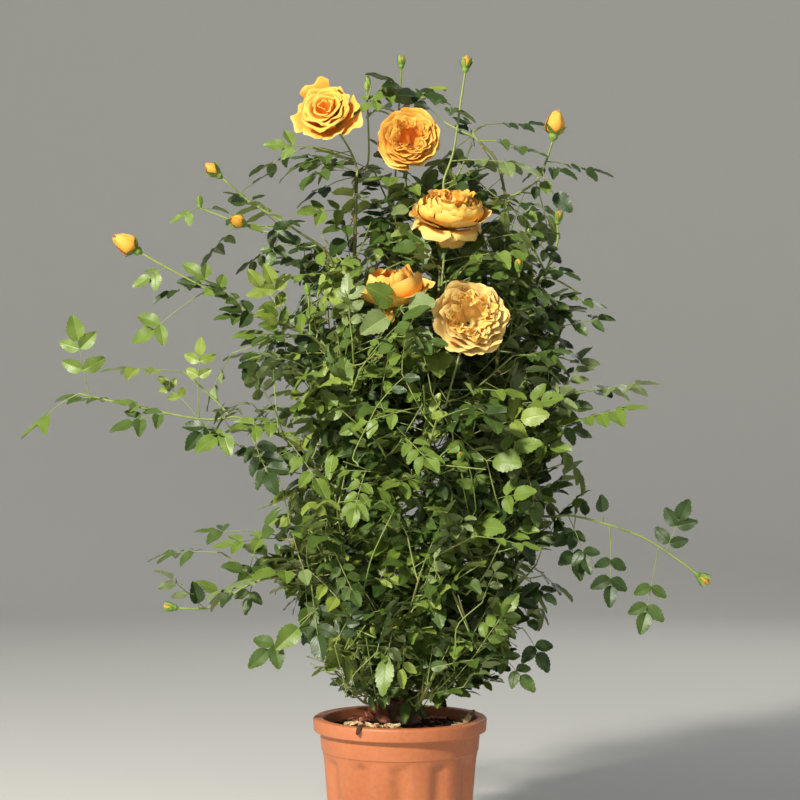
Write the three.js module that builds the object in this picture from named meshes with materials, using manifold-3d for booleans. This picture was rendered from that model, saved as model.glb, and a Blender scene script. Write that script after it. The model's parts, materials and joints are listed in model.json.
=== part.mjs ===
// A climbing rose in a fluted nursery pot, in millimetres, with +Z up.
// The origin is the middle of the pot's underside, and -Y is the front.
// Tapering canes and boughs rise from a graft union on the potting mix. Each mass of foliage is one solid:
// a stem, its side twigs, their compound leaves, and the roses and buds at their tips, fused together.
import * as THREE from "three";
import { mergeVertices } from "three/addons/utils/BufferGeometryUtils.js";
import Module from "manifold-3d";

const wasm = await Module();
wasm.setup();

// Driving sizes of the pot and the potting mix
const POT_HEIGHT = 220;
const RIM_RADIUS = 119;
const RIM_DEPTH = 18;
const BAND_DEPTH = 27;
const BAND_RELIEF = 1.2;
const BASE_RADIUS = 91.6;
const WALL_SLOPE = 0.084;
const WALL_INSET = 5.6;
const FLOOR_THICKNESS = 3;
const FLUTES = 12;
const FLUTE_DEPTH = 3.4;
const FACETS_PER_FLUTE = 4;
const PLAIN_FOOT = 14;
const FLUTE_RUN_OUT = 3;
const RIM_DRAFT = 1;
const RIM_ROUND = 4;
const DRAIN_HOLES = 6;
const DRAIN_CIRCLE = 58;
const DRAIN_RADIUS = 5.5;
const DRAIN_SIDES = 8;
const MIX_LEVEL = 205;
const MIX_CROWN = 211;
const MIX_FLAT = 34;
const MIX_LUMPS = 1.8;
const GAP = 0.3;

// Driving sizes of the rose
const UNION_RADIUS = 17;
const UNION_HEIGHT = 34;
const UNION_SIDES = 12;
const CANE_RADIUS = 4.6;
const CANE_TIP_RADIUS = 2.3;
const CANE_SIDES = 7;
const CANE_STEPS = 8;
const CANE_RISE = 0.8;
const BOUGH_RADIUS = 2.4;
const BOUGH_TIP_RADIUS = 1.7;
const BOUGH_SIDES = 5;
const BOUGH_STEPS = 4;
const TWIG_SIDES = 3;
const LEAD = 0.3;
const STEM_RADIUS = 1.7;
const TWIG_RADIUS = 1.5;
const TWIG_TIP_RADIUS = 1.3;
const RACHIS_RADIUS = 0.65;
const LEAF_LENGTH = 116;
const LEAF_SAG = 0.1;
const LEAFLET_SAG = 0.12;
const ROSE_RADIUS = 46;
const BUD_RADIUS = 10;
const REACH = { front: 256, back: 258, right: 428 };

const UP = new THREE.Vector3(0, 0, 1);
const vec = (x, y, z) => new THREE.Vector3(x, y, z);

// Random numbers that are the same on every run
function seeded(seed) {
  return () => {
    seed = (seed + 0x6d2b79f5) | 0;
    let t = Math.imul(seed ^ (seed >>> 15), 1 | seed);
    t = (t + Math.imul(t ^ (t >>> 7), 61 | t)) ^ t;
    return ((t ^ (t >>> 14)) >>> 0) / 4294967296;
  };
}

// A closed solid from its points and triangles, turned so that its faces point out
function solid(points, triangles) {
  const vertProperties = new Float32Array(points.flatMap((p) => p.toArray()));
  const make = (order) => {
    const triVerts = new Uint32Array(order);
    return new wasm.Manifold(new wasm.Mesh({ numProp: 3, vertProperties, triVerts }));
  };
  const made = make(triangles);
  return made.volume() > 0 ? made : make(triangles.slice().reverse());
}

// A solid from a three.js geometry, with its shared vertices merged
function solidFrom(geometry) {
  const bare = geometry.clone();
  bare.deleteAttribute("normal");
  bare.deleteAttribute("uv");
  const merged = mergeVertices(bare);
  const at = merged.attributes.position;
  const points = Array.from({ length: at.count }, (_, i) => vec().fromBufferAttribute(at, i));
  return solid(points, Array.from(merged.index.array));
}

// A skin over a row of rings that have the same number of points, closed by a fan at each end or by a tip
function skin(rings, tip) {
  const sides = rings[0].length;
  const last = (rings.length - 1) * sides;
  const points = rings.flat();
  const triangles = [];
  for (let first = 0; first < last; first += sides)
    for (let i = 0; i < sides; i++) {
      const [a, b] = [first + i, first + ((i + 1) % sides)];
      triangles.push(a, b, b + sides, a, b + sides, a + sides);
    }
  for (let i = 1; i + 1 < sides; i++) triangles.push(0, i + 1, i);
  if (!tip) {
    for (let i = 1; i + 1 < sides; i++) triangles.push(last, last + i, last + i + 1);
    return solid(points, triangles);
  }
  for (let i = 0; i < sides; i++) triangles.push(last + i, last + ((i + 1) % sides), points.length);
  return solid([...points, tip], triangles);
}

// A level ring of points round the Z axis, whose radius and height may change with the angle
function ring(sides, z, radius) {
  return Array.from({ length: sides }, (_, i) => {
    const angle = (i / sides) * 2 * Math.PI;
    const r = typeof radius === "function" ? radius(angle) : radius;
    return vec(r * Math.cos(angle), r * Math.sin(angle), typeof z === "function" ? z(angle) : z);
  });
}

const fused = (solids) => wasm.Manifold.union(solids);
const wallRadius = (z) => BASE_RADIUS + WALL_SLOPE * z;
const insideRadius = (z) => wallRadius(z) - WALL_INSET;

// The pot has a tapering wall with shallow flutes, a plain band above them, a heavy rim and drain holes.
function pot() {
  const sides = FLUTES * FACETS_PER_FLUTE;
  const rimFoot = POT_HEIGHT - RIM_DEPTH;
  const bandFoot = rimFoot - BAND_DEPTH;
  const fluted = (z) => (angle) => wallRadius(z) - FLUTE_DEPTH * (0.5 + 0.5 * Math.cos(FLUTES * angle)) ** 2;
  const outline = [
    [0, BASE_RADIUS],
    [PLAIN_FOOT, wallRadius(PLAIN_FOOT)],
    [PLAIN_FOOT + FLUTE_RUN_OUT, fluted(PLAIN_FOOT + FLUTE_RUN_OUT)],
    [bandFoot - FLUTE_RUN_OUT, fluted(bandFoot - FLUTE_RUN_OUT)],
    [bandFoot, wallRadius(bandFoot) + BAND_RELIEF],
    [rimFoot, wallRadius(rimFoot) + BAND_RELIEF],
    [rimFoot, RIM_RADIUS - RIM_DRAFT],
    [POT_HEIGHT - RIM_ROUND, RIM_RADIUS],
    [POT_HEIGHT, RIM_RADIUS - RIM_ROUND],
    [POT_HEIGHT - 0.5 * RIM_ROUND, insideRadius(POT_HEIGHT)],
    [FLOOR_THICKNESS, insideRadius(FLOOR_THICKNESS)],
  ];
  const shell = skin(outline.map(([z, radius]) => ring(sides, z, radius)));
  const drains = Array.from({ length: DRAIN_HOLES }, (_, i) => {
    const angle = ((i + 0.5) / DRAIN_HOLES) * 2 * Math.PI;
    const drill = new THREE.CylinderGeometry(DRAIN_RADIUS, DRAIN_RADIUS, 4 * FLOOR_THICKNESS, DRAIN_SIDES);
    drill.rotateX(Math.PI / 2);
    drill.translate(DRAIN_CIRCLE * Math.cos(angle), DRAIN_CIRCLE * Math.sin(angle), 0);
    return solidFrom(drill);
  });
  return shell.subtract(fused(drains));
}

// The potting mix fills the pot to just under the rim, and is mounded towards the stems.
function pottingMix() {
  const sides = (FLUTES * FACETS_PER_FLUTE) / 2;
  const clear = (z) => insideRadius(z) * Math.cos(Math.PI / (2 * sides)) - GAP;
  const lump = (angle, share) =>
    MIX_LUMPS * share * Math.sin(3 * angle + 5 * share) * Math.sin(2 * angle - 7 * share);
  const height = (share) => (angle) => MIX_CROWN - (MIX_CROWN - MIX_LEVEL) * share ** 2 + lump(angle, share);
  const mound = [0.82, 0.55].map((share) => ring(sides, height(share), clear(MIX_LEVEL) * share));
  return skin([
    ring(sides, FLOOR_THICKNESS + GAP, clear(FLOOR_THICKNESS)),
    ring(sides, MIX_LEVEL, clear(MIX_LEVEL)),
    ...mound,
    ring(sides, MIX_CROWN, MIX_FLAT),
  ]);
}

// The graft union is a knobbly foot with a root flare, cut flat where it stands on the mix.
const UNION_FOOT = MIX_CROWN + GAP;
const UNION_MIDDLE = vec(2, 0, UNION_FOOT + 0.5 * UNION_HEIGHT);
function graftUnion(swell = 0) {
  const knobbly = (radius) => (angle) =>
    radius * (1 + 0.09 * Math.sin(2 * angle + 1) + 0.05 * Math.sin(5 * angle)) + swell;
  const profile = [
    [0, 25],
    [0.14, 19],
    [0.34, UNION_RADIUS],
    [0.62, UNION_RADIUS + 1],
    [0.85, 13],
    [1, 7],
  ];
  const rings = profile.map(([share, r]) => ring(UNION_SIDES, UNION_FOOT + share * UNION_HEIGHT, knobbly(r)));
  rings[0].forEach((p) => (p.z -= swell));
  rings.at(-1).forEach((p) => (p.z += swell));
  return skin(rings).translate([UNION_MIDDLE.x, UNION_MIDDLE.y, 0]);
}

// A limb is a row of points with a radius at each, that leaves its host in the direction "out".
function limb(start, out, places, steps, thick, thin) {
  const first = start.clone().addScaledVector(out, LEAD * start.distanceTo(places[0]));
  const curve = new THREE.CatmullRomCurve3([start, first, ...places], false, "catmullrom", 0.5);
  const points = Array.from({ length: steps + 1 }, (_, i) => curve.getPoint(i / steps));
  const radii = points.map((_, i) => thick + ((thin - thick) * i) / steps);
  return { points, radii, out };
}

function direction({ points, out }, i) {
  if (i === 0) return out.clone();
  return points[Math.min(i + 1, points.length - 1)].clone().sub(points[i - 1]).normalize();
}

// A unit vector square to an axis, as near as can be to a wish
function square(wish, axis) {
  return wish.clone().addScaledVector(axis, -wish.dot(axis)).normalize();
}

function limbSolid(line, sides) {
  let across = square(Math.abs(line.out.z) > 0.9 ? vec(1, 0, 0) : UP, line.out);
  const rings = line.points.map((point, i) => {
    const axis = direction(line, i);
    across = square(across, axis);
    const third = axis.clone().cross(across);
    return Array.from({ length: sides }, (_, k) => {
      const angle = (k / sides) * 2 * Math.PI;
      const offset = across.clone().multiplyScalar(Math.cos(angle)).addScaledVector(third, Math.sin(angle));
      return point.clone().addScaledVector(offset, line.radii[i]);
    });
  });
  return skin(rings);
}

// The place on a limb at a share of its rows: point, direction and radius
function place({ points, radii }, share) {
  const at = Math.min(share, 0.9999) * (points.length - 1);
  const [i, part] = [Math.floor(at), at % 1];
  return {
    point: points[i].clone().lerp(points[i + 1], part),
    axis: points[i + 1].clone().sub(points[i]).normalize(),
    radius: radii[i] + (radii[i + 1] - radii[i]) * part,
  };
}

// The share of a rising limb's rows at which it reaches a height
function shareAt({ points }, z) {
  const i = points.findIndex((_, k) => k + 2 === points.length || points[k + 1].z >= z);
  return (i + (z - points[i].z) / (points[i + 1].z - points[i].z)) / (points.length - 1);
}

// Each cane leaves the graft union and passes through the places listed.
function cane(turn, places) {
  const out = vec(Math.cos(turn), Math.sin(turn), 0).multiplyScalar(Math.cos(CANE_RISE));
  out.z = Math.sin(CANE_RISE);
  const start = UNION_MIDDLE.clone().addScaledVector(out, 0.5 * UNION_RADIUS);
  return limb(start, out, places.map((p) => vec(...p)), CANE_STEPS, CANE_RADIUS, CANE_TIP_RADIUS);
}

const canes = {
  cane_left: cane(3.3, [[-70, -10, 370], [-80, 0, 560], [-66, 6, 780], [-60, 0, 962]]),
  cane_front: cane(4.9, [[26, -48, 360], [36, -54, 540], [50, -42, 740], [60, -14, 940]]),
  cane_right: cane(0.1, [[88, 2, 370], [116, 8, 560], [138, 6, 740], [148, 0, 880]]),
  cane_back_left: cane(2.2, [[-34, 66, 370], [-30, 84, 560], [-10, 76, 740], [2, 52, 890]]),
  cane_back_right: cane(1.15, [[58, 66, 360], [78, 82, 560], [76, 72, 720], [70, 48, 860]]),
};

// A limb leaves its host sideways at a height, 0.3 mm clear of it, or goes on from the host's tip.
function leave(host, z, towards) {
  if (!z) {
    const out = direction(host, host.points.length - 1);
    return { start: host.points.at(-1).clone().addScaledVector(out, GAP), out };
  }
  const { point, axis, radius } = place(host, shareAt(host, z));
  const out = square(towards.clone().sub(point), axis);
  return { start: point.addScaledVector(out, radius + GAP), out };
}

function bough(host, z, ...places) {
  const towards = places.map((p) => vec(...p));
  const { start, out } = leave(host, z, towards[0]);
  return limb(start, out, towards, BOUGH_STEPS, BOUGH_RADIUS, BOUGH_TIP_RADIUS);
}

const boughs = {
  bough_arch: bough(canes.cane_right, 0, [146, -1, 934], [133, -2, 985], [108, -3, 1012]),
  bough_left_high: bough(canes.cane_left, 700, [-118, -22, 738], [-176, -40, 760]),
  bough_left_top: bough(canes.cane_left, 810, [-100, -12, 856], [-140, -24, 884]),
  bough_left_middle: bough(canes.cane_left, 545, [-140, -44, 592], [-205, -62, 622]),
  bough_left_low: bough(canes.cane_left, 392, [-118, -50, 422], [-172, -70, 414]),
  bough_right_low: bough(canes.cane_right, 455, [160, -16, 490], [214, -30, 495]),
  bough_right_high: bough(canes.cane_right, 745, [168, -10, 790], [190, -14, 816]),
  bough_back: bough(canes.cane_back_right, 600, [92, 130, 650], [98, 168, 700]),
};
const limbs = { ...canes, ...boughs };

// The crown's outline gives its middle and its radius at a height.
const OUTLINE = [
  [236, 8, 70],
  [300, 12, 165],
  [400, 18, 205],
  [520, 34, 218],
  [640, 44, 204],
  [760, 42, 188],
  [860, 40, 150],
  [960, 24, 100],
];
function crownAt(z) {
  const above = OUTLINE.findIndex((row) => row[0] >= z);
  const high = above < 0 ? OUTLINE.length - 1 : Math.max(1, above);
  const [a, b] = [OUTLINE[high - 1], OUTLINE[high]];
  const share = (z - a[0]) / (b[0] - a[0]);
  return { middle: a[1] + (b[1] - a[1]) * share, radius: a[2] + (b[2] - a[2]) * share };
}
function crownPoint(angle, share, z) {
  const { middle, radius } = crownAt(z);
  return vec(middle + share * radius * Math.cos(angle), share * radius * Math.sin(angle), z);
}

// A compound leaf is one thin blade, cut to its rachis between the leaflets. Each row gives a place along the
// rachis, the half width there and how far forward that width is swept, as shares of the leaf's length.
const PAIR = [
  [0, 0, 0],
  [0.04, 0.21, 0.01],
  [0.12, 0.35, 0.13],
  [0.18, 0.11, 0.1],
];
const pairFrom = (share, size = 1) =>
  PAIR.map(([row, width, sweep]) => [share + row * size, width * size, sweep * size]);
const LEAF_ROWS = {
  one_pair: [[0, 0, 0], ...pairFrom(0.17, 1.25), [0.47, 0, 0], [0.72, 0.17, 0]],
  two_pairs: [[0, 0, 0], ...pairFrom(0.14), ...pairFrom(0.4), [0.65, 0, 0], [0.79, 0.14, 0]],
};
const LEAF_SHARE = { one_pair: 0.8, two_pairs: 1 };
function compoundLeaf(root, along, normal, kind, size) {
  const side = along.clone().cross(normal).normalize();
  const top = side.clone().cross(along).normalize();
  const length = LEAF_LENGTH * size * LEAF_SHARE[kind];
  const at = (forward, aside) => {
    const sag = length * (LEAF_SAG * forward ** 2 + LEAFLET_SAG * Math.abs(aside));
    const point = root.clone().addScaledVector(along, length * forward);
    return point.addScaledVector(side, length * aside).addScaledVector(top, -sag);
  };
  const rings = LEAF_ROWS[kind].map(([share, width, sweep]) => {
    const half = width + RACHIS_RADIUS / length;
    const middle = at(share, 0);
    return [
      at(share + sweep, half),
      middle.clone().addScaledVector(top, RACHIS_RADIUS),
      at(share + sweep, -half),
      middle.clone().addScaledVector(top, -RACHIS_RADIUS),
    ];
  });
  const tip = at(1, 0);
  const between = (p, q) => p.clone().lerp(q, 0.5);
  const across = ([left, up, right]) => [left, between(left, up), up, between(right, up), right];
  const samples = [...rings.flatMap(across), between(tip, rings.at(-1)[1]), tip];
  return { samples, make: () => skin(rings, tip) };
}

// Rings round the Z axis, turned to face another way
function turnedRings(profile, sides, centre, facing, size) {
  const turn = new THREE.Quaternion().setFromUnitVectors(UP, facing);
  return profile.map(([z, r, notch = 1]) => {
    const lobed = (angle) => size * r * (Math.cos(0.5 * sides * angle) > 0 ? 1 : notch);
    return ring(sides, z * size, lobed).map((p) => p.applyQuaternion(turn).add(centre));
  });
}

// A rose is a dimpled cup of petals inside five broad outer petals.
const OUTER_PETALS = 5;
function rose(centre, facing, radius) {
  const profile = [
    [-0.42, 0.14],
    [-0.22, 0.6, 0.94],
    [0.16, 1, 0.82],
    [0.1, 0.72],
    [0.42, 0.56, 0.9],
    [0.28, 0.18],
  ];
  return skin(turnedRings(profile, 2 * OUTER_PETALS, centre, facing, radius));
}

// A bud is a pointed spindle on a small hip.
function bud(centre, facing, radius) {
  const profile = [
    [-1.5, 0.3],
    [-0.6, 0.85],
    [0.3, 1],
    [1.5, 0.3],
  ];
  return skin(turnedRings(profile, 5, centre, facing, radius));
}

const FLOWERS = {
  rose: { make: rose, radius: ROSE_RADIUS, seat: 0.36, reach: 1 },
  bud: { make: bud, radius: BUD_RADIUS, seat: 1.2, reach: 1.6 },
};

// A mass is a stem that leaves a limb, and side twigs that leave the stem. A shoot may end in a flower.
// Its seat is then where the shoot's tip is sunk into the flower's back.
const masses = [];
const PLAIN_TIP = { facing: [0, 0, 1], size: 1, leaves: 2, leafSize: 1, kind: "one_pair", spread: "flat" };
function shoot(line, tip) {
  const { flower, facing, size, ...leafing } = { ...PLAIN_TIP, ...tip };
  const made = { line, ...leafing };
  if (!flower) return made;
  const { make, radius, seat, reach } = FLOWERS[flower];
  const turned = vec(...facing).normalize();
  const centre = line.points.at(-1).clone().addScaledVector(turned, seat * radius * size);
  const bloom = () => make(centre, turned, radius * size);
  return { ...made, ball: { centre, radius: reach * radius * size }, bloom };
}

function mass(name, host, z, { places, twigs = [], seed, ...tip }) {
  const towards = places.map((p) => vec(...p));
  const { start, out } = leave(host, z, towards[0]);
  const stem = limb(start, out, towards, 2 + places.length, STEM_RADIUS, TWIG_RADIUS);
  const shoots = [shoot(stem, tip)];
  for (const { from, to, ...rest } of twigs) {
    const { point, axis } = place(stem, from);
    const end = vec(...to);
    const leaning = square(end.clone().sub(point), axis).lerp(axis, 0.4).normalize();
    shoots.push(shoot(limb(point, leaning, [end], 2, TWIG_RADIUS, TWIG_TIP_RADIUS), rest));
  }
  masses.push({ name, shoots, random: seeded(seed) });
}

// The crown's body: at each level the masses stand round the canes, turned half a step from those below.
// The front of the top level is taken by the roses that stand there.
const LEVELS = [300, 398, 496, 594, 700];
const SECTORS = 4;
const ROSES_STAND_AT = "foliage_5d";
const LEVEL_TURN = 0.2;
const STEM_DROP = 70;
const UNION_ROOM = 12;
const STEM_REACH = 0.72;
const TWIG_REACH = 0.8;
const TWIG_TURN = 0.5;
const TWIG_RISE = 30;
const LARGE_LEAVES = { leafSize: 1.35, spread: "round" };
const canesList = Object.values(canes);
LEVELS.forEach((z, level) => {
  for (let sector = 0; sector < SECTORS; sector++) {
    const name = "foliage_" + (level + 1) + "abcd"[sector];
    if (name === ROSES_STAND_AT) continue;
    const angle = ((sector + 0.5 * (level % 2) + LEVEL_TURN) / SECTORS) * 2 * Math.PI;
    const tip = crownPoint(angle, STEM_REACH, z);
    const foot = Math.max(z - STEM_DROP, UNION_FOOT + UNION_HEIGHT + UNION_ROOM);
    const reachOf = (line) => place(line, shareAt(line, foot)).point.distanceTo(tip);
    const host = canesList.reduce((best, line) => (reachOf(line) < reachOf(best) ? line : best));
    const to = crownPoint(angle + TWIG_TURN, TWIG_REACH, z + TWIG_RISE).toArray();
    mass(name, host, foot, {
      places: [tip.toArray()],
      leaves: 4,
      ...LARGE_LEAVES,
      twigs: [{ from: 0.5, to, leaves: 3, ...LARGE_LEAVES }],
      seed: 11 + 7 * level + sector,
    });
  }
});

// The flowering head and the shoots that stand out of the crown, at the places where the plant has them
const { cane_left, cane_front, cane_right, cane_back_left, cane_back_right } = canes;

mass("rose_top_left", cane_left, 0, {
  places: [[-70, -8, 1000], [-94, -20, 1036]],
  flower: "rose",
  facing: [-0.25, -0.85, 0.42],
  leaves: 2,
  twigs: [
    { from: 0.2, to: [-46, 14, 1084], flower: "bud", size: 0.6, leaves: 1 },
    { from: 0.5, to: [-128, 6, 1006], leaves: 1 },
  ],
  seed: 201,
});
mass("rose_top_middle", cane_back_left, 0, {
  places: [[6, 34, 940], [13, 0, 1006]],
  flower: "rose",
  facing: [0, -0.95, 0.25],
  size: 0.95,
  leaves: 3,
  twigs: [
    { from: 0.5, to: [2, 16, 1116], flower: "bud", size: 0.75, leaves: 1 },
    { from: 0.3, to: [-36, 70, 980], leaves: 2 },
  ],
  seed: 202,
});
mass("bud_top", cane_front, 0, {
  places: [[74, -8, 998], [84, -6, 1067], [90, -4, 1106]],
  flower: "bud",
  facing: [0.1, 0, 1],
  size: 0.9,
  leaves: 1,
  twigs: [{ from: 0.15, to: [100, 20, 1010], leaves: 1 }],
  seed: 203,
});
mass("rose_upper", cane_front, 800, {
  places: [[60, -62, 850], [67, -64, 884]],
  flower: "rose",
  facing: [0.05, -0.4, 0.92],
  size: 1.1,
  leaves: 3,
  twigs: [{ from: 0.4, to: [118, -70, 868], leaves: 2 }],
  seed: 204,
});
mass("rose_middle", cane_left, 620, {
  places: [[-38, -66, 704], [-8, -74, 780]],
  flower: "rose",
  facing: [-0.1, -0.3, 0.95],
  size: 0.9,
  leaves: 3,
  leafSize: 1.2,
  twigs: [
    { from: 0.85, to: [4, -118, 776], leaves: 1, leafSize: 1.2, spread: "round" },
    { from: 0.5, to: [-84, -100, 740], leaves: 2, leafSize: 1.2, spread: "round" },
    { from: 0.3, to: [-52, -128, 690], leaves: 2, leafSize: 1.2, spread: "round" },
  ],
  seed: 205,
});
mass("rose_front", cane_front, 600, {
  places: [[66, -98, 664], [90, -104, 752]],
  flower: "rose",
  facing: [0.1, -0.97, 0.2],
  size: 1.08,
  leaves: 3,
  leafSize: 1.2,
  twigs: [
    { from: 0.6, to: [150, -104, 710], leaves: 2, leafSize: 1.2, spread: "round" },
    { from: 0.35, to: [30, -150, 668], leaves: 2, leafSize: 1.2, spread: "round" },
  ],
  seed: 206,
});
mass("bud_right_top", boughs.bough_arch, 936, {
  places: [[188, -2, 956], [202, -2, 984], [211, -2, 1012]],
  flower: "bud",
  facing: [0.15, 0, 1],
  size: 1.25,
  leaves: 3,
  twigs: [{ from: 0.3, to: [196, 40, 944], leaves: 1 }],
  seed: 207,
});
mass("foliage_arch", boughs.bough_arch, 0, {
  places: [[88, -2, 1024], [62, 10, 1040]],
  leaves: 2,
  twigs: [{ from: 0.3, to: [120, 24, 1040], leaves: 1 }],
  seed: 208,
});
mass("bud_right_high", boughs.bough_right_high, 0, {
  places: [[203, -16, 838], [216, -16, 870], [216, -16, 894]],
  flower: "bud",
  size: 0.6,
  leaves: 3,
  twigs: [
    { from: 0.2, to: [246, -20, 800], leaves: 2 },
    { from: 0.4, to: [176, -34, 872], flower: "bud", size: 0.6, leaves: 1 },
  ],
  seed: 209,
});
mass("foliage_right", cane_right, 610, {
  places: [[196, -16, 650], [252, -24, 664]],
  leaves: 4,
  twigs: [{ from: 0.5, to: [226, -60, 620], leaves: 2 }],
  seed: 210,
});
mass("shoot_right_low", boughs.bough_right_low, 0, {
  places: [[275, -40, 486], [330, -46, 466], [385, -50, 431], [402, -52, 417]],
  flower: "bud",
  facing: [0.8, 0, -0.6],
  size: 0.75,
  leaves: 4,
  kind: "two_pairs",
  seed: 211,
});
mass("shoot_left_low", boughs.bough_left_low, 0, {
  places: [[-208, -76, 402], [-252, -80, 376], [-294, -84, 375]],
  flower: "bud",
  facing: [-1, 0, 0.15],
  size: 0.8,
  leaves: 3,
  kind: "two_pairs",
  twigs: [{ from: 0.3, to: [-238, -74, 448], leaves: 2 }],
  seed: 212,
});
mass("shoot_left_middle", boughs.bough_left_middle, 0, {
  places: [[-264, -70, 626], [-340, -75, 640], [-428, -80, 660]],
  leaves: 4,
  kind: "two_pairs",
  twigs: [{ from: 0.3, to: [-290, -66, 690], leaves: 3 }],
  seed: 213,
});
mass("shoot_left_high", boughs.bough_left_high, 0, {
  places: [[-242, -50, 792], [-327, -60, 838], [-362, -62, 860]],
  flower: "bud",
  facing: [-0.85, 0, 0.5],
  size: 1.1,
  leaves: 4,
  kind: "two_pairs",
  seed: 214,
});
mass("shoot_left_top", boughs.bough_left_top, 0, {
  places: [[-201, -30, 923], [-250, -34, 964]],
  flower: "bud",
  facing: [-0.6, 0, 0.8],
  size: 0.9,
  leaves: 3,
  twigs: [
    { from: 0.35, to: [-220, -44, 894], flower: "bud", size: 0.7, leaves: 1 },
    { from: 0.2, to: [-276, -10, 918], flower: "bud", size: 0.7, leaves: 1 },
  ],
  seed: 215,
});
mass("foliage_back_high", cane_back_right, 0, {
  places: [[52, 58, 920], [30, 74, 960]],
  leaves: 4,
  twigs: [{ from: 0.4, to: [96, 84, 930], leaves: 2 }],
  seed: 216,
});
mass("rose_back_right", boughs.bough_back, 0, {
  places: [[104, 176, 740], [112, 178, 776]],
  flower: "rose",
  facing: [0.25, 0.93, 0.25],
  leaves: 3,
  twigs: [{ from: 0.3, to: [160, 150, 760], leaves: 2 }],
  seed: 217,
});
mass("rose_back_left", cane_back_left, 600, {
  places: [[-50, 124, 662], [-74, 148, 706]],
  flower: "rose",
  facing: [-0.4, 0.85, 0.35],
  leaves: 3,
  twigs: [{ from: 0.4, to: [-130, 96, 710], leaves: 2 }],
  seed: 218,
});

// Every limb and shoot is also made a little thicker, as the room that a leaf has to keep out of.
const grown = (line) => ({ ...line, radii: line.radii.map((r) => r + 2 * GAP) });
const bodySides = (line) => (line.radii[0] > BOUGH_RADIUS ? CANE_SIDES : BOUGH_SIDES);
const limbRooms = Object.values(limbs).map((line) => limbSolid(grown(line), bodySides(line)));
for (const own of masses) {
  own.blades = [];
  own.flowers = own.shoots.flatMap((one) => (one.ball ? [one.bloom()] : []));
  for (const one of own.shoots) one.room = limbSolid(grown(one.line), TWIG_SIDES);
}
const balls = masses.flatMap(({ shoots }) => shoots.flatMap(({ ball }) => (ball ? [ball] : [])));
const meets = (a, b) => !a.intersect(b).isEmpty();

// How far a point is from the nearest stretch of a line
function away(point, { points }) {
  const stretch = new THREE.Line3();
  const nearest = vec();
  const ways = points.slice(1).map((end, i) => {
    stretch.set(points[i], end).closestPointToPoint(point, true, nearest);
    return nearest.distanceTo(point);
  });
  return Math.min(...ways);
}

// A leaf fits if all of it is nearer to its own mass's shoots than to any other mass's, above the pot, within
// the plant's reach, and clear of flowers, limbs, shoots and other leaves.
const BORDER_ROOM = 0.7;
const FLOWER_ROOM = 2;
const POT_ROOM = 4;
const beyondReach = (p) => p.x > REACH.right || -p.y > REACH.front || p.y > REACH.back;
function fits(own, carrier, { samples, make }) {
  const others = masses.filter((other) => other !== own);
  const inside = samples.every((p) => {
    if (p.z < POT_HEIGHT + POT_ROOM || beyondReach(p)) return false;
    if (balls.some(({ centre, radius }) => centre.distanceTo(p) < radius + FLOWER_ROOM)) return false;
    const near = Math.min(...own.shoots.map(({ line }) => away(p, line))) + BORDER_ROOM;
    return others.every(({ shoots }) => shoots.every(({ line }) => away(p, line) > near));
  });
  if (!inside) return false;
  const blade = make();
  const standing = masses.flatMap(({ shoots }) => shoots).filter((one) => one !== carrier);
  const rooms = standing.map(({ room }) => room);
  const grownBlades = masses.flatMap(({ blades }) => blades);
  return ![...limbRooms, ...rooms, ...grownBlades].some((room) => meets(room, blade));
}

// Leaves stand round a shoot by turns, the last at its tip. Each is turned until it fits, or made smaller.
const LEAF_TURN = 2.4;
const BARE_SHARE = 0.2;
const LEAFY_SHARE = 0.75;
const SMALLER = 0.85;
const TRIES = 40;
function growLeaves(own, carrier) {
  const { line, leaves, leafSize, kind, spread, ball } = carrier;
  for (let k = 0; k < leaves; k++) {
    const atTip = !ball && k === leaves - 1;
    for (let attempt = 0; attempt < TRIES; attempt++) {
      const share = BARE_SHARE + (LEAFY_SHARE * (k + 0.2 + 0.6 * own.random())) / leaves;
      const { point, axis } = place(line, atTip ? 1 : share);
      const outward = vec(point.x - crownAt(point.z).middle, point.y, 0).normalize();
      const first = square(outward.clone().addScaledVector(UP, 0.3), axis);
      const aside = first.clone().applyAxisAngle(axis, own.random() - 0.5 + LEAF_TURN * (k + attempt));
      const along = axis.clone().multiplyScalar(atTip ? 0.8 : 0.4).addScaledVector(aside, atTip ? 0.5 : 0.9);
      along.normalize();
      const tilt = vec(own.random() - 0.5, own.random() - 0.5, own.random() - 0.5).multiplyScalar(0.5);
      const open = spread === "round" ? outward : vec(0, own.random() < 0.7 ? -1 : 1, 0);
      const normal = square(tilt.addScaledVector(UP, 0.5).addScaledVector(open, 0.9), along);
      const small = attempt > TRIES / 2;
      const size = leafSize * (0.9 + 0.2 * own.random()) * (small ? SMALLER : 1);
      const leaf = compoundLeaf(point, along, normal, small ? "one_pair" : kind, size);
      if (!fits(own, carrier, leaf)) continue;
      own.blades.push(leaf.make());
      break;
    }
  }
}

function massSolid(own) {
  for (const one of own.shoots) growLeaves(own, one);
  const stems = own.shoots.map((one) => limbSolid(one.line, TWIG_SIDES));
  return fused([...stems, ...own.flowers, ...own.blades]);
}

function bodySolid(line) {
  const whole = limbSolid(line, bodySides(line));
  return canesList.includes(line) ? whole.subtract(graftUnion(GAP)) : whole;
}

// Every solid becomes a named mesh with its own material.
const paint = (color, roughness) => new THREE.MeshStandardMaterial({ color, roughness, metalness: 0 });
const terracotta = paint(0xc8784e, 0.6);
const peat = paint(0x3a2a1e, 0.95);
const bark = paint(0x6e6a3a, 0.8);
const greenwood = paint(0x64803a, 0.6);
const leafGreen = paint(0x3f6b2a, 0.5);

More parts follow.
